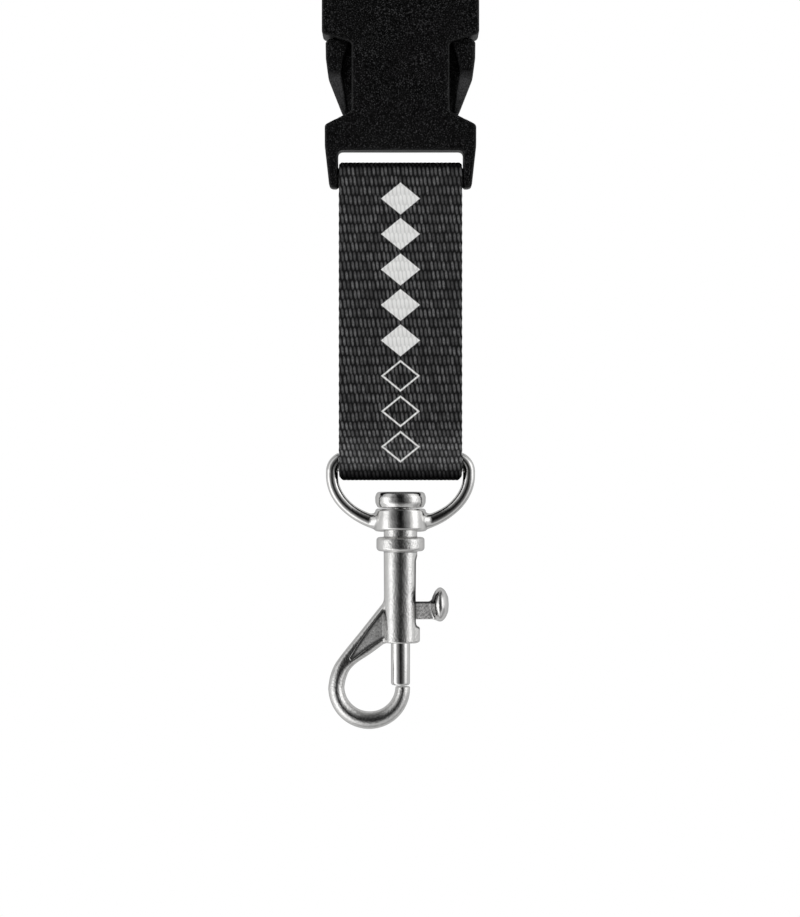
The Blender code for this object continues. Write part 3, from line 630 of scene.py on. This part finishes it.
def plug_field(x, y, z):
    crown = np.abs(y) + 0.0008 * x * x
    across = np.abs(x)
    body = both(outline(across, z, PLUG_FRONT, False), outline(crown, z, PLUG_SIDE, False),
                0.5)
    body = without(body, outline(across, z, PLUG_SLOT, False), 0.7)
    tongue = both(outline(across, z, TONGUE, False), np.abs(y) - 2.6, 0.35)
    # lightening pocket down each face of the tongue
    pocket = both(both(across - 2.0, np.abs(z - (MOUTH - 13.0)) - 5.2, 0.8),
                  2.0 - np.abs(y), 0.0)
    tongue = without(tongue, pocket, 0.25)
    body = either(body, tongue, 0.3)
    side, rise = across - ARM_HINGE[0], z - ARM_HINGE[1]
    seat = np.sqrt(side * side + np.maximum(rise, 0) ** 2) - 1.55
    seat = either(seat, both(np.abs(side + 0.1) - 1.85, rise + 0.6, 0.1), 0.1)
    seat = both(seat, np.abs(y) - 2.95, 0.1)
    return without(body, seat, 0.15)


plug = field_object("buckle_plug", plug_field, (-15.0, -4.6, MOUTH - 21.5),
                    (15.0, 4.6, 4.0), 0.22)
dress(plug, PLASTIC, "plug", "black_plastic", "plug_body")


# ---- latch arms ----
ARM_OUTLINE = rounded(drops([
    (12.4, -0.2, 0.3), (12.45, 8.3, 0.3), (14.6, 8.3, 0.5), (15.2, 8.95, 0.6),
    (15.15, 12.2, 3.0), (14.62, 16.2, 3.5), (12.0, 22.9, 2.0), (11.6, 23.75, 0.3),
    (10.95, 23.7, 0.3), (10.9, 22.2, 0.5), (11.5, 18.4, 3.0), (12.05, 15.3, 2.5),
    (11.6, 12.4, 2.5), (9.9, 7.6, 1.5), (9.7, 3.0, 3.0), (9.75, -0.2, 0.3)]))


ARM_WEB = rounded(drops([
    (9.8, 5.4, 0.5), (10.6, 8.0, 0.5), (12.3, 12.6, 1.0), (12.6, 15.3, 1.0), (12.2, 18.4, 1.0),
    (11.4, 22.2, 0.3), (11.1, 23.3, 0.2), (9.35, 23.2, 0.5), (9.35, 6.2, 0.4)]))


def arm_field(side, y, z):
    flat = outline(side, z, ARM_OUTLINE)
    root = np.sqrt((side - ARM_HINGE[0]) ** 2 + (z - ARM_HINGE[1]) ** 2) - 1.4
    drop = MOUTH - z
    # the grip stands full depth; the lead-in thins towards the tip
    depth = 2.78 - 1.05 * unit((drop - 14.2) / 9.4) ** 1.2
    shoulder = 0.35 * unit((side - 13.2) / 2.0) ** 2
    # facet below the knee, canted outwards
    shoulder = shoulder + 0.42 * np.clip(side - 12.2 + (drop - 15.4) * 0.36, 0, 3) * (
        unit((drop - 15.0) / 1.2))
    arm = both(either(flat, root, 0.2), np.abs(y) - depth + shoulder, 0.4)
    web = both(outline(side, z, ARM_WEB), np.abs(y) - 0.85, 0.2)
    return either(arm, web, 0.35)


def lit_facet_share(side, y, z):
    """Share of painted highlight on a latch: most on the canted facet below its knee."""
    drop = MOUTH - z
    facet = unit((drop - 14.6) / 1.6) * unit((23.4 - drop) / 5.0)
    return facet * unit((side - 11.4 + (drop - 15.4) * 0.28) / 1.2) * 0.8


for sign, label in ((-1, "left"), (1, "right")):
    span = sorted((sign * 9.3, sign * 15.3))
    arm = field_object("latch_" + label, lambda x, y, z: arm_field(x * sign, y, z),
                       (span[0], -2.8, MOUTH - 23.8), (span[1], 2.8, MOUTH + 2.5), 0.17,
                       worn=lambda x, y, z: lit_facet_share(x * sign, y, z))
    dress(arm, PLASTIC, "latch_" + label, "black_plastic", "latch_arm_" + label)


# ---- webbing strap ----
STRAP_HALF_WIDTH, STRAP_THICK = 12.5, 1.3
EYE_BAR_DROP, EYE_WIRE = 95.1, 1.22
TOP_RADIUS = BAR_RADIUS + 0.1 + STRAP_THICK / 2
LOW_RADIUS = EYE_WIRE + 0.1 + STRAP_THICK / 2
FLAP_SHIFT = STRAP_THICK + 0.08
LAP_TOP, LAP_END = 56.0, 77.5
STRIP_STEP = 0.27
EDGE_ROUND, EDGE_THIN = 0.5, 0.12            # of the selvedges
# (drop, share) of the picks' relief and gloss, lost in both folds, where the share also paints
# the folds dark as shade; and of the painted light that makes the lower front ply paler
FADE = [(33.1, 0), (34.0, 0.04), (34.5, 0.25), (35.0, 0.65), (35.8, 1), (94.4, 1), (94.9, 0.62),
        (95.5, 0.46), (95.9, 0.22), (96.4, 0.11), (97.3, 0.02)]
LOWER_FRONT_LIGHT = [(86, 1), (88.5, 1.25), (91, 1.6), (94, 1.7)]


def back_line(drop):
    """Depth of the back ply's middle line."""
    t = (drop - BAR_DROP) / (EYE_BAR_DROP - BAR_DROP)
    return TOP_RADIUS + (LOW_RADIUS - TOP_RADIUS) * t


def strip_line():
    """Middle line in Y and Z at even steps, with unit normals on the outer side."""
    def ply(drops_down, side=1, shift=0.0):
        return [(side * back_line(d) + shift, MOUTH - d) for d in drops_down]

    line = ply(np.linspace(LAP_END, BAR_DROP, 60)[:-1])
    line += arc(0, MOUTH - BAR_DROP, TOP_RADIUS, 0, 180, 40)
    line += ply(np.linspace(BAR_DROP, EYE_BAR_DROP, 80)[1:-1], -1)
    line += arc(0, MOUTH - EYE_BAR_DROP, LOW_RADIUS, 180, 360, 40)
    line += ply(np.linspace(EYE_BAR_DROP, LAP_END + 7.5, 12)[1:-1])
    for t in np.linspace(0, 1, 25):          # the flap steps out over the strip's other end
        line += ply([LAP_END + 7.5 - 6.3 * t], 1, FLAP_SHIFT * (3 * t * t - 2 * t ** 3))
    line += ply(np.linspace(LAP_END + 1.2, LAP_TOP, 24)[1:], 1, FLAP_SHIFT)
    line = np.array(line)
    run = np.r_[0, np.cumsum(np.linalg.norm(np.diff(line, axis=0), axis=1))]
    count = int(run[-1] / (STRIP_STEP * 1)) + 1
    s = np.linspace(0, run[-1], count)
    pts = np.stack([np.interp(s, run, line[:, i]) for i in (0, 1)], 1)
    d = np.gradient(pts, axis=0)
    d /= np.linalg.norm(d, axis=1, keepdims=True)
    return s, pts, np.stack([d[:, 1], -d[:, 0]], 1)


def weave(u, phase):
    """Height of the woven bumps, 0 in the gaps to 1 on the crests."""
    height = np.zeros(np.broadcast(u, phase).shape)
    for row in (np.floor(phase) + k for k in (-1, 0, 1)):
        dv = phase - row - 0.5
        place = u / PICK_WIDE + 0.5 * (np.abs(row) % 2) - PICK_SLANT * dv
        du = place - np.round(place)
        h = 1 - (np.abs(du) / (PICK_FAT * 1.15)) ** 2 - (np.abs(dv) / PICK_LONG) ** 2.6
        height = np.maximum(height, np.sqrt(np.maximum(h, 0)))
    return height


def build_webbing():
    s, line, out = strip_line()
    drop = MOUTH - line[:, 1]
    front = line[:, 0] < 0
    # the picks close up where the front ply turns under the eye's bar
    low = unit((drop - 85.0) / 3.5) * (s < s[-1] - 30) * (s > 50)
    tall = PICK_TALL + (PICK_TALL_LOW - PICK_TALL) * low * low * (3 - 2 * low)
    phase = np.r_[0, np.cumsum(np.diff(s) / ((tall[1:] + tall[:-1]) / 2))] + 0.3
    face_cols, back_cols, edge = ((120, 20, 5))
    flat, half = STRAP_HALF_WIDTH - EDGE_ROUND, STRAP_THICK / 2
    # the strip's section, once round: across, thickness and side (1 outer, -1 inner, 0 edge)
    bends = [np.radians(np.linspace(a, a - 180, edge + 2)[1:-1]) for a in (90, -90)]
    rims = [(side * flat + EDGE_ROUND * np.cos(a), (half - EDGE_THIN) * np.sin(a))
            for side, a in zip((1, -1), bends)]
    us = np.r_[np.linspace(-flat, flat, face_cols + 1), rims[0][0],
               np.linspace(flat, -flat, back_cols + 1), rims[1][0]]
    ns = np.r_[[half] * (face_cols + 1), rims[0][1], [-half] * (back_cols + 1), rims[1][1]]
    kinds = np.repeat([1.0, 0.0, -1.0, 0.0], [face_cols + 1, edge, back_cols + 1, edge])
    height = weave(us, phase[:, None])
    # fade also carries the painted shade of both folds to the material
    fade = np.interp(drop, *zip(*FADE))
    settled = np.clip(fade * 1.6, 0.25, 1)[:, None]
    selvedge = unit((STRAP_HALF_WIDTH - np.abs(us)) / 0.7)
    lift = height * (0.35 + 0.65 * selvedge)
    proud = -0.20 + 0.19 * unit(1 - fade * 1.6)[:, None]
    outer, inner = kinds > 0.5, kinds < -0.5
    n = ns + np.where(outer, proud + 0.25 * lift * settled,
                      np.where(inner, 0.10 - 0.07 * lift, 0.0))
    # rows bulge a little at both selvedges
    bulge = 0.035 * np.cos(2 * math.pi * phase)[:, None] * np.sign(us)
    bulge = bulge * (np.abs(us) > flat - 0.4)
    # the corners draw in where the strap is folded round the eye's bar
    turned = np.clip((drop - 96.2) / 0.87, 0, 0.99)
    drawn = 1 - 0.03 * (1 - np.sqrt(1 - turned ** 2))[:, None]
    verts = np.stack([(us + bulge) * drawn, line[:, 0:1] + out[:, 0:1] * n,
                      line[:, 1:2] + out[:, 1:2] * n], 2).reshape(-1, 3)
    rows, cols = n.shape
    index = np.arange(rows * cols).reshape(rows, cols)
    nxt = np.roll(index, -1, 1)
    faces = np.stack([index[:-1], nxt[:-1], nxt[1:], index[1:]], 2).reshape(-1, 4)
    # both cut ends, closed across the thickness
    ends = []
    count = face_cols + 1
    for row, order in ((0, 1), (rows - 1, -1)):
        ring = index[row].tolist()
        top = ring[:count]
        under = [ring[count + edge + round(j * back_cols / face_cols)]
                 for j in range(count)][::-1]
        right, left = ring[count:count + edge], ring[count + edge + back_cols + 1:]
        pairs = list(zip(top, under))
        for (a, b), (c, d) in zip(pairs, pairs[1:]):
            ends.append(((a, c, d, b) if d != b else (a, c, d))[::order])
        ends.append([top[-1], *right, under[-1]][::order])
        ends.append([under[0], *left, top[0]][::order])
    # painted light: the front ply is painted paler towards the eye's bar, where it turns to the
    # light
    lighter = np.where(front, np.interp(drop, *zip(*LOWER_FRONT_LIGHT)), 1)
    # only the front ply counts its drop, so the print stays off the folds and the back
    print_drop = np.where(front, drop, np.where(s < s[-1] / 2, 0, 2 * PRINT_END))
    strip = [np.tile(us, rows), np.repeat(print_drop, cols), np.tile(kinds, rows)]
    return mesh_object("webbing", verts, faces.tolist() + ends, strip=np.stack(strip, 1),
                       phase=np.repeat(phase, cols), tone=np.repeat(lighter, cols),
                       fade=np.repeat(fade, cols)), s[-1]


webbing, strip_length = build_webbing()
dress(webbing, WEBBING, "strap", "black_webbing", "webbing_strap")


SEAM_ROWS, SEAM_HALF, SEAM_EDGE, STITCH = 5, 9.8, 2.2, 2.35


def build_stitches(name, base, outward):
    """Lock stitches: a row across the lap, a step down its side, and the next row back."""
    corners = []
    for row, d in enumerate(np.linspace(LAP_TOP + SEAM_EDGE, LAP_END - SEAM_EDGE, SEAM_ROWS)):
        side = -SEAM_HALF if row % 2 else SEAM_HALF
        corners += [(-side, d), (side, d)]
    verts, faces = [], []
    sides, rings = 8, 9
    for (x0, d0), (x1, d1) in zip(corners, corners[1:]):
        length = math.hypot(x1 - x0, d1 - d0)
        ux, ud = (x1 - x0) / length, (d1 - d0) / length
        count = max(2, round(length / STITCH))
        for i in range(count):
            start = len(verts)
            for t in np.linspace(0, 1, rings):
                f = (i + 0.05 + 0.9 * t) / count
                dive = abs(2 * t - 1) ** 3
                x, d = x0 + (x1 - x0) * f, d0 + (d1 - d0) * f
                y = back_line(d) + base + outward * (0.10 - 0.42 * dive)
                radius = 0.24 * (1 - 0.35 * dive)
                for g in np.arange(sides) * 2 * math.pi / sides:
                    c, w = radius * math.cos(g), radius * math.sin(g)
                    verts.append((x - ud * c, y + w * 0.8, MOUTH - (d + ux * c)))
            for p in range(start, start + (rings - 1) * sides, sides):
                for j in range(sides):
                    k = (j + 1) % sides
                    faces.append((p + j, p + k, p + k + sides, p + j + sides))
            faces.append(range(start + sides - 1, start - 1, -1))
            faces.append(range(start + (rings - 1) * sides, start + rings * sides))
    return mesh_object(name, verts, faces)


stitches_outer = build_stitches("stitches_outer", FLAP_SHIFT + STRAP_THICK / 2 - 0.06, 1)
stitches_inner = build_stitches("stitches_inner", -STRAP_THICK / 2 + 0.04, -1)
dress(stitches_outer, THREAD, "strap", "black_thread", "seam_thread_outer")
dress(stitches_inner, THREAD, "strap", "black_thread", "seam_thread_inner")
strip_length * MM


# ---- swivel eye ----
EYE_HALF, EYE_DEEP, EYE_ARC_DROP, EAR = 13.94, 10.3, 96.7, 3.0
HUB_TOP, HUB_END, HUB_RADIUS, HUB_BORE = 103.5, 108.1, 5.12, 2.4
LOBE_X, LOBE_DROP, LOBE_RADIUS, LOBE_DEEPER = 4.6, 105.9, 1.68, 1.25  # wire swells into hub
STRAP_SIDE, LIMB_TOP = 12.58, 96.9           # above and inside these the bar takes over


EYE_PATH = arc(EYE_HALF - EAR, MOUTH - EYE_BAR_DROP - 0.9, EAR, 70, 0, 30) + [
    (EYE_HALF * math.cos(a), MOUTH - EYE_ARC_DROP - EYE_DEEP * math.sin(a))
    for a in np.radians(np.linspace(0, 74, 60))]
EYE_RADII = [EYE_WIRE + 0.25 * max(0.0, 1 - (len(EYE_PATH) - 1 - i) / 24)
             for i in range(len(EYE_PATH))]


def eye_field(x, y, z):
    side, drop = np.abs(x), MOUTH - z
    limb = plane_tube(side, y, z, EYE_PATH, EYE_RADII)
    gone = np.where((side < STRAP_SIDE) & (drop < LIMB_TOP),
                    np.minimum(STRAP_SIDE - side, LIMB_TOP - drop), -5.0)
    limb = both(limb, gone, 0.05)
    thin = 0.97 - 0.3 * unit((side - 12.1) / 0.4)
    bar = both(np.sqrt(y * y + (drop - EYE_BAR_DROP) ** 2) - EYE_WIRE * thin,
               side - (EYE_HALF - 0.25), 0.1)
    wire = either(limb, bar, 0.08)
    round_r = np.sqrt(x * x + y * y)
    # drum swelling towards its lower rim, cast a little out of level
    t = unit((drop - HUB_TOP) / 2.6)
    wall = round_r - (HUB_RADIUS + 0.14 * t * t * (3 - 2 * t))
    hub = both(wall, both(HUB_TOP - drop, drop - HUB_END - 0.07 * y, 0.0), 0.5)
    lobe = np.sqrt((side - LOBE_X) ** 2 + (y / LOBE_DEEPER) ** 2
                   + (drop - LOBE_DROP) ** 2) - LOBE_RADIUS
    body = either(either(wire, lobe, 0.5), hub, 0.35)
    body = without(body, round_r - HUB_BORE, 0.25)
    # sunk underneath to take the top of the snap's neck
    return without(body, both(round_r - 3.65, HUB_END - 0.85 - drop, 0.1), 0.15)


eye = field_object("swivel_eye_metal", eye_field, (-15.2, -5.2, MOUTH - 108.7),
                   (15.2, 5.2, MOUTH - 91.2), 0.16)
dress(eye, EYE_NICKEL, "eye", "polished_nickel", "swivel_eye")


# ---- snap ----
cap = lathe("post_cap_metal", rounded(drops([
    (0, 100.08, 0), (4.8, 100.1, 0.8), (5.15, 101.1, 1.0), (5.12, 102.3, 1.4),
    (4.65, 103.3, 0.5), (1.9, 103.3, 0.0), (1.9, 101.3, 0), (0, 101.3, 0)]), 8))
dress(cap, CAP_NICKEL, "snap", "polished_nickel", "post_cap")

# radius, drop and rounding, from the post down to the barrel's end
SNAP_PROFILE = rounded(drops([
    (-1, 101.4, 0), (1.7, 101.4, 0.2), (1.7, 103.6, 0), (2.25, 103.6, 0.1), (2.25, 107.5, 0.1),
    (3.4, 107.5, 0.25), (3.4, 109.3, 0.15), (4.9, 109.3, 0.6), (4.9, 112.1, 0.85),
    (3.42, 112.2, 0.15), (3.36, 121.0, 0.0), (3.42, 130.8, 0.4), (-1, 130.8, 0)]), 6)
BORE_RADIUS, BORE_TOP = 2.1, 109.7
STUD_DROP, STUD_TALL, STUD_DEEP, BOLT_TRAVEL = 124.2, 1.78, 0.9, 8.4
SLOT_WIDE = 1.12
SLOT_TOP, SLOT_END = STUD_DROP - BOLT_TRAVEL - STUD_TALL - 0.7, STUD_DROP + 3.2
HOOK_X, HOOK_DROP, HOOK_BEND, HOOK_WIRE = -6.3, 139.8, 6.75, 1.75
ARM_ROUND, ARM_DEEP = 1.645, 1.08            # half depths at the hook and at the barrel
LIP_X, LIP_RADIUS, LIP_DROP, LIP_HALF = 2.2, 1.75, 129.1, 1.65
# the arm between barrel and hook, its outer and inner edges listed from the hook up
ARM_OUTER = through([(-14.695, 141.0), (-14.695, 139.8), (-14.35, 137.7), (-13.75, 136.0),
                     (-12.95, 134.55), (-11.3, 132.35), (-9.6, 130.25), (-7.9, 128.15),
                     (-6.2, 126.0), (-4.5, 123.85), (-2.5, 121.4)], 4)
ARM_INNER = through([(-11.405, 141.0), (-11.405, 139.8), (-11.05, 138.0), (-10.3, 136.3),
                     (-8.85, 134.85), (-6.5, 133.3), (-4.7, 132.0), (-3.3, 130.95),
                     (-2.5, 130.4)], 4)
ARM_EDGE = [(x, MOUTH - d) for x, d in list(ARM_OUTER) + list(ARM_INNER)[::-1]]
POCKET = rounded(drops([(-2.4, 122.6, 0.0), (-3.3, 123.8, 0.0), (-6.2, 127.6, 8.0),
                        (-8.3, 130.7, 8.0), (-10.3, 133.9, 0.4), (-10.0, 134.3, 0.3),
                        (-8.9, 133.5, 2.0), (-7.4, 132.3, 4.0), (-5.5, 131.0, 6.0),
                        (-3.2, 129.7, 2.0), (-2.4, 129.3, 0.0)]))


def ridge(off):
    """Fall of the face away from the low ridge along the hook's parting line."""
    return 0.14 * (np.sqrt(off * off + 0.04) - 0.2)


def brace_field(x, y, z):
    """Hook from its tip round the bend, and its arm, hollowed on both faces."""
    drop = MOUTH - z
    centre = MOUTH - HOOK_DROP
    reach = np.sqrt((x - HOOK_X) ** 2 + (z - centre) ** 2)
    turn = np.arctan2(np.maximum(centre - z, 0), x - HOOK_X) / math.pi
    near = np.where(z < centre, np.abs(reach - HOOK_BEND),
                    np.sqrt((np.abs(x - HOOK_X) - HOOK_BEND) ** 2 + (z - centre) ** 2))
    swell = HOOK_WIRE * np.interp(turn, [0, 0.3, 0.5, 0.7, 1], [0.86, 0.98, 1.04, 1.02, 0.94])
    bend = np.sqrt(near * near + (np.abs(y) + ridge(near)) ** 2) - swell
    bend = both(bend, np.where(x > HOOK_X + 3, z - centre - 0.15, -9.0), 0.28)
    # the arm is round where it leaves the bend and flattens towards the barrel
    t = unit((HOOK_DROP - drop) / 9.0)
    t = t * t * (3 - 2 * t)
    deep = ARM_ROUND + (ARM_DEEP - ARM_ROUND) * t
    corner = np.minimum(ARM_ROUND + (0.95 - ARM_ROUND) * unit(t * 1.3), deep)
    flat = outline(x, z, ARM_EDGE)
    arm = both(flat, np.abs(y) + ridge(np.clip(ARM_ROUND + flat, 0, 2)) - deep, corner)
    arm = np.where(drop > HOOK_DROP + 0.6, 9.0, arm)
    pocket = both(outline(x, z, POCKET), 0.36 + 0.10 * np.clip(drop - 129.5, 0, 4)
                  - np.abs(y), 0.15)
    arm = without(arm, pocket, 0.22)
    return either(bend, arm, 0.0)


def slot_field(x, y, z):
    drop = MOUTH - z
    half = (SLOT_END - SLOT_TOP) / 2 - SLOT_WIDE
    past = np.maximum(np.abs(drop - (SLOT_TOP + SLOT_END) / 2) - half, 0)
    return np.sqrt(y * y + past * past) - SLOT_WIDE + 0 * x


def snap_field(x, y, z):
    drop = MOUTH - z
    round_r = np.sqrt(x * x + y * y)
    body = outline(round_r, z, SNAP_PROFILE, False)
    # rounded lip that closes the stud's slot at its lower end
    lip = both(np.sqrt((x - LIP_X) ** 2 + y * y) - LIP_RADIUS,
               np.abs(drop - LIP_DROP) - LIP_HALF, 0.5)
    body = either(body, lip, 0.3)
    brace = brace_field(x, y, z)
    # the casting only meets the barrel from outside
    brace = both(brace, np.where(drop < 131.3, 2.6 - round_r, -9.0), 0.0)
    body = either(body, brace, 0.5)
    bore = both(round_r - BORE_RADIUS, BORE_TOP - drop, 0.0)
    body = without(body, np.where(drop < 133, bore, 9.0), 0.15)
    return without(body, both(slot_field(x, y, z), 0.5 - x, 0.0), 0.22)


def web_face(x, y, z):
    """1 in the arm's pockets, which keep their rough cast face."""
    inside = unit((0.35 - outline(x, z, POCKET)) / 0.4)
    return 0.9 * inside * unit((0.95 - np.abs(y)) / 0.3)


def slot_pocket_shade(x, y, z):
    """Painted shade: 1 on the edges of the thumb stud's slot, less round the arm's pockets."""
    slot = np.where(x > 1.5, unit(2.2 - slot_field(x, y, z) / 0.42), 0.0)
    rim = unit(1.3 - np.abs(outline(x, z, POCKET) + 0.1) / 0.32)
    return np.maximum(slot, 0.85 * rim * unit((1.2 - np.abs(y)) / 0.25))


snap = field_object("snap_hook_metal", snap_field, (-15.0, -5.0, MOUTH - 148.5),
                    (5.0, 5.0, MOUTH - 101.3), 0.16, raw=web_face, grime=slot_pocket_shade)
dress(snap, SNAP_NICKEL, "snap", "polished_nickel", "snap_hook_body")

BOLT_TOP, BOLT_TIP, BOLT_RADIUS = 122.2, 139.4, 1.95
bolt = lathe("bolt_metal", rounded(drops([
    (0, BOLT_TOP, 0), (BOLT_RADIUS, BOLT_TOP, 0.3), (BOLT_RADIUS, 131.0, 0),
    (BOLT_RADIUS - 0.03, BOLT_TIP, 0.75), (0.9, BOLT_TIP + 0.02, 0), (0, BOLT_TIP, 0)]), 6),
    steps=72)
dress(bolt, BOLT_NICKEL, "bolt", "polished_nickel", "bolt_plunger")

STUD_RISE = 1.2                              # the head stands above the stem's axis
STUD_LENS = rounded([(-1, 9.88, 0), (1.5, 9.72, 2.0), (2.85, 9.1, 2.0), (3.72, 8.08, 0.8),
                     (2.85, 7.06, 2.0), (1.5, 6.45, 2.0), (0.8, 6.3, 0), (-1, 6.3, 0)])


def stud_field(x, y, z):
    rise = z - (MOUTH - STUD_DROP)
    head = outline(np.sqrt(y * y + (rise - STUD_RISE) ** 2), x, STUD_LENS, False)
    stem = both(both(np.abs(rise) - STUD_TALL, np.abs(y) - STUD_DEEP, 0.3),
                both(2.2 - x, x - 7.7, 0.1), 0.1)
    spigot = both(np.sqrt(y * y + rise * rise) - 0.85, both(0.45 - x, x - 3.0, 0.0), 0.15)
    return either(either(head, stem, 0.7), spigot, 0.0)


def stem_top_shade(x, y, z):
    """Painted shade: 1 along the stem's upper edge, darkened as it turns away from the light."""
    rise = z - (MOUTH - STUD_DROP)
    return unit((rise - 1.3) / 0.3) * unit((7.3 - x) / 0.5)


stud = field_object("thumb_stud_metal", stud_field, (0.4, -3.7, MOUTH - STUD_DROP - 2.7),
                    (9.9, 3.7, MOUTH - STUD_DROP + 4.9), 0.12,
                    raw=lambda x, y, z: unit((6.6 - x) / 0.8) * 1.5 + 0 * z,
                    grime=stem_top_shade)
dress(stud, STUD_NICKEL, "bolt", "polished_nickel", "thumb_stud")


def build_spring():
    wire, coil, turns = 0.22, 1.62, 7
    top, low = MOUTH - BORE_TOP - 0.1 - wire, MOUTH - BOLT_TOP + 0.15 + wire
    sides, per_turn = 8, 26
    t = np.linspace(0, 1, turns * per_turn + 1)
    angle = 2 * math.pi * turns * t
    rise = low + (top - low) * (0.35 * (0.5 - 0.5 * np.cos(math.pi * t)) + 0.65 * t)
    path = np.stack([coil * np.cos(angle), coil * np.sin(angle), rise], 1)
    ahead = np.gradient(path, axis=0)
    ahead /= np.linalg.norm(ahead, axis=1, keepdims=True)
    out = np.stack([np.cos(angle), np.sin(angle), 0 * angle], 1)
    up = np.cross(ahead, out)
    ring = 2 * math.pi * np.arange(sides) / sides
    verts = (path[:, None] + wire * (np.cos(ring)[None, :, None] * out[:, None]
                                     + np.sin(ring)[None, :, None] * up[:, None]))
    index = np.arange(len(t) * sides).reshape(len(t), sides)
    nxt = np.roll(index, -1, 1)
    faces = np.stack([index[:-1], index[1:], nxt[1:], nxt[:-1]], 2).reshape(-1, 4)
    ends = [index[0].tolist(), index[-1][::-1].tolist()]
    obj = mesh_object("spring_coil", verts.reshape(-1, 3), faces.tolist() + ends)
    return obj, top + wire, (top - low) + 2 * wire


spring, spring_top, spring_length = build_spring()
dress(spring, SPRING_STEEL, "snap", "spring_wire", "bolt_spring")
spring_top * MM
1 - BOLT_TRAVEL / spring_length
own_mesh(spring)


# ---- stage, light and camera ----
FLOOR_BELOW, FLOOR_SIZE = 1.5, 11.0          # metres: well below the camera's frame
PANEL_LEVEL = 1.25
bpy.ops.mesh.primitive_plane_add(size=FLOOR_SIZE, location=(0, 0, cad_low.z - FLOOR_BELOW))
floor = bpy.context.object
floor.name = "floor"
paint = material("pale_floor")
tint = paint.noise(paint.where(), 40.0, 2.0)
floor.data.materials.append(paint.set(
    Base_Color=paint.mix(tint, (0.86, 0.86, 0.86), (0.9, 0.9, 0.9)), Roughness=0.8,
    Emission_Color=(1.0, 1.0, 1.0), Emission_Strength=0.8))
floor.visible_glossy = floor.visible_diffuse = False


def studio_world():
    """Soft studio surround: dark behind the camera and overhead, bright panels either side."""
    world = bpy.data.worlds.new("studio")
    bpy.context.scene.world = world
    n = Nodes(world)
    n.tree.nodes.clear()

    def ramp(value, stops):
        node = n.add("ShaderNodeValToRGB", value)
        node.color_ramp.interpolation = "EASE"
        marks = node.color_ramp.elements
        marks[0].position, marks[1].position = stops[0][0], stops[-1][0]
        for at, _ in stops[1:-1]:
            marks.new(at)
        for mark, (_, v) in zip(marks, stops):
            mark.color = (v, v, v, 1)
        return Value(n, node.outputs[0])

    x, y, z = n.split(n.out("ShaderNodeTexCoord", pick="Generated"))
    # angle from straight behind the camera, as a share of a half turn
    level = ramp(n.math("ARCCOSINE", y * -1.0) / math.pi, [
        (0.0, 0.006), (0.06, 0.03), (0.14, 0.14), (0.22, 0.27), (0.29, 0.62), (0.34, 1.15),
        (0.44, 1.1), (0.50, 0.62), (0.62, 0.5), (0.80, 0.36), (1.0, 0.30)])
    # turn about the camera's axis, from straight left through down, right and up
    share = ramp(n.math("ARCTAN2", z, x) / (2 * math.pi) + 0.5, [
        (0.0, 0.92), (0.05, 1.0), (0.12, 0.95), (0.25, 0.36), (0.38, 0.38), (0.45, 0.5),
        (0.49, 0.88), (0.56, 1.0), (0.62, 0.6), (0.70, 0.12), (0.75, 0.06), (0.81, 0.07),
        (0.87, 0.38), (0.92, 0.5), (0.965, 0.6), (1.0, 0.92)])
    share = share + (1.0 - share) * ramp(y, [(0.1, 0.0), (0.6, 1.0)])
    seen_in_gloss = n.out("ShaderNodeBackground", level * PANEL_LEVEL * share)
    # diffuse light comes mostly from the sides, and the camera sees plain white
    sideways = (1.0 - z * z) ** 1.5
    white = (1.0, 1.0, 1.0)
    diffuse = n.out("ShaderNodeBackground", white, sideways * 0.30 + 0.02)
    rays = n.add("ShaderNodeLightPath").outputs
    cast = n.out("ShaderNodeMixShader", Value(n, rays["Is Glossy Ray"]), diffuse, seen_in_gloss)
    n.add("ShaderNodeOutputWorld", n.out(
        "ShaderNodeMixShader", Value(n, rays["Is Camera Ray"]), cast,
        n.out("ShaderNodeBackground", white)))


studio_world()


MIDDLE = (0.0, 0.0, -0.085)


def soft_light(name, location, size, power):
    data = bpy.data.lights.new(name, "AREA")
    data.shape = "RECTANGLE"
    data.size, data.size_y = size
    data.energy = power
    obj = linked(name, data)
    obj.location = location
    obj.rotation_mode = "QUATERNION"
    obj.rotation_quaternion = (Vector(MIDDLE) - Vector(location)).to_track_quat("-Z", "Y")
    obj.visible_glossy = False


soft_light("key", (-0.55, -0.75, 0.45), (0.5, 0.5), 6.0)
soft_light("fill", (0.75, -0.55, -0.05), (0.25, 0.8), 3.0)
soft_light("rim", (0.35, 0.7, 0.5), (0.5, 0.3), 4.0)

IMAGE_HEIGHT = 917                            # pixels
SCALE = 0.2035                                # millimetres a pixel at the strap
DISTANCE = 0.55
camera = linked("camera", bpy.data.cameras.new("camera"))
camera.location = (-0.0001, -DISTANCE, (MOUTH - IMAGE_HEIGHT / 2 * SCALE) * MM)
camera.rotation_euler = (math.radians(90), 0, 0)
camera.data.sensor_width = 36.0
camera.data.lens = 36.0 * DISTANCE / (IMAGE_HEIGHT * SCALE * MM)
camera.data.clip_start, camera.data.clip_end = 0.01, 20.0
bpy.context.scene.camera = camera
bpy.context.scene.view_settings.view_transform = "Standard"
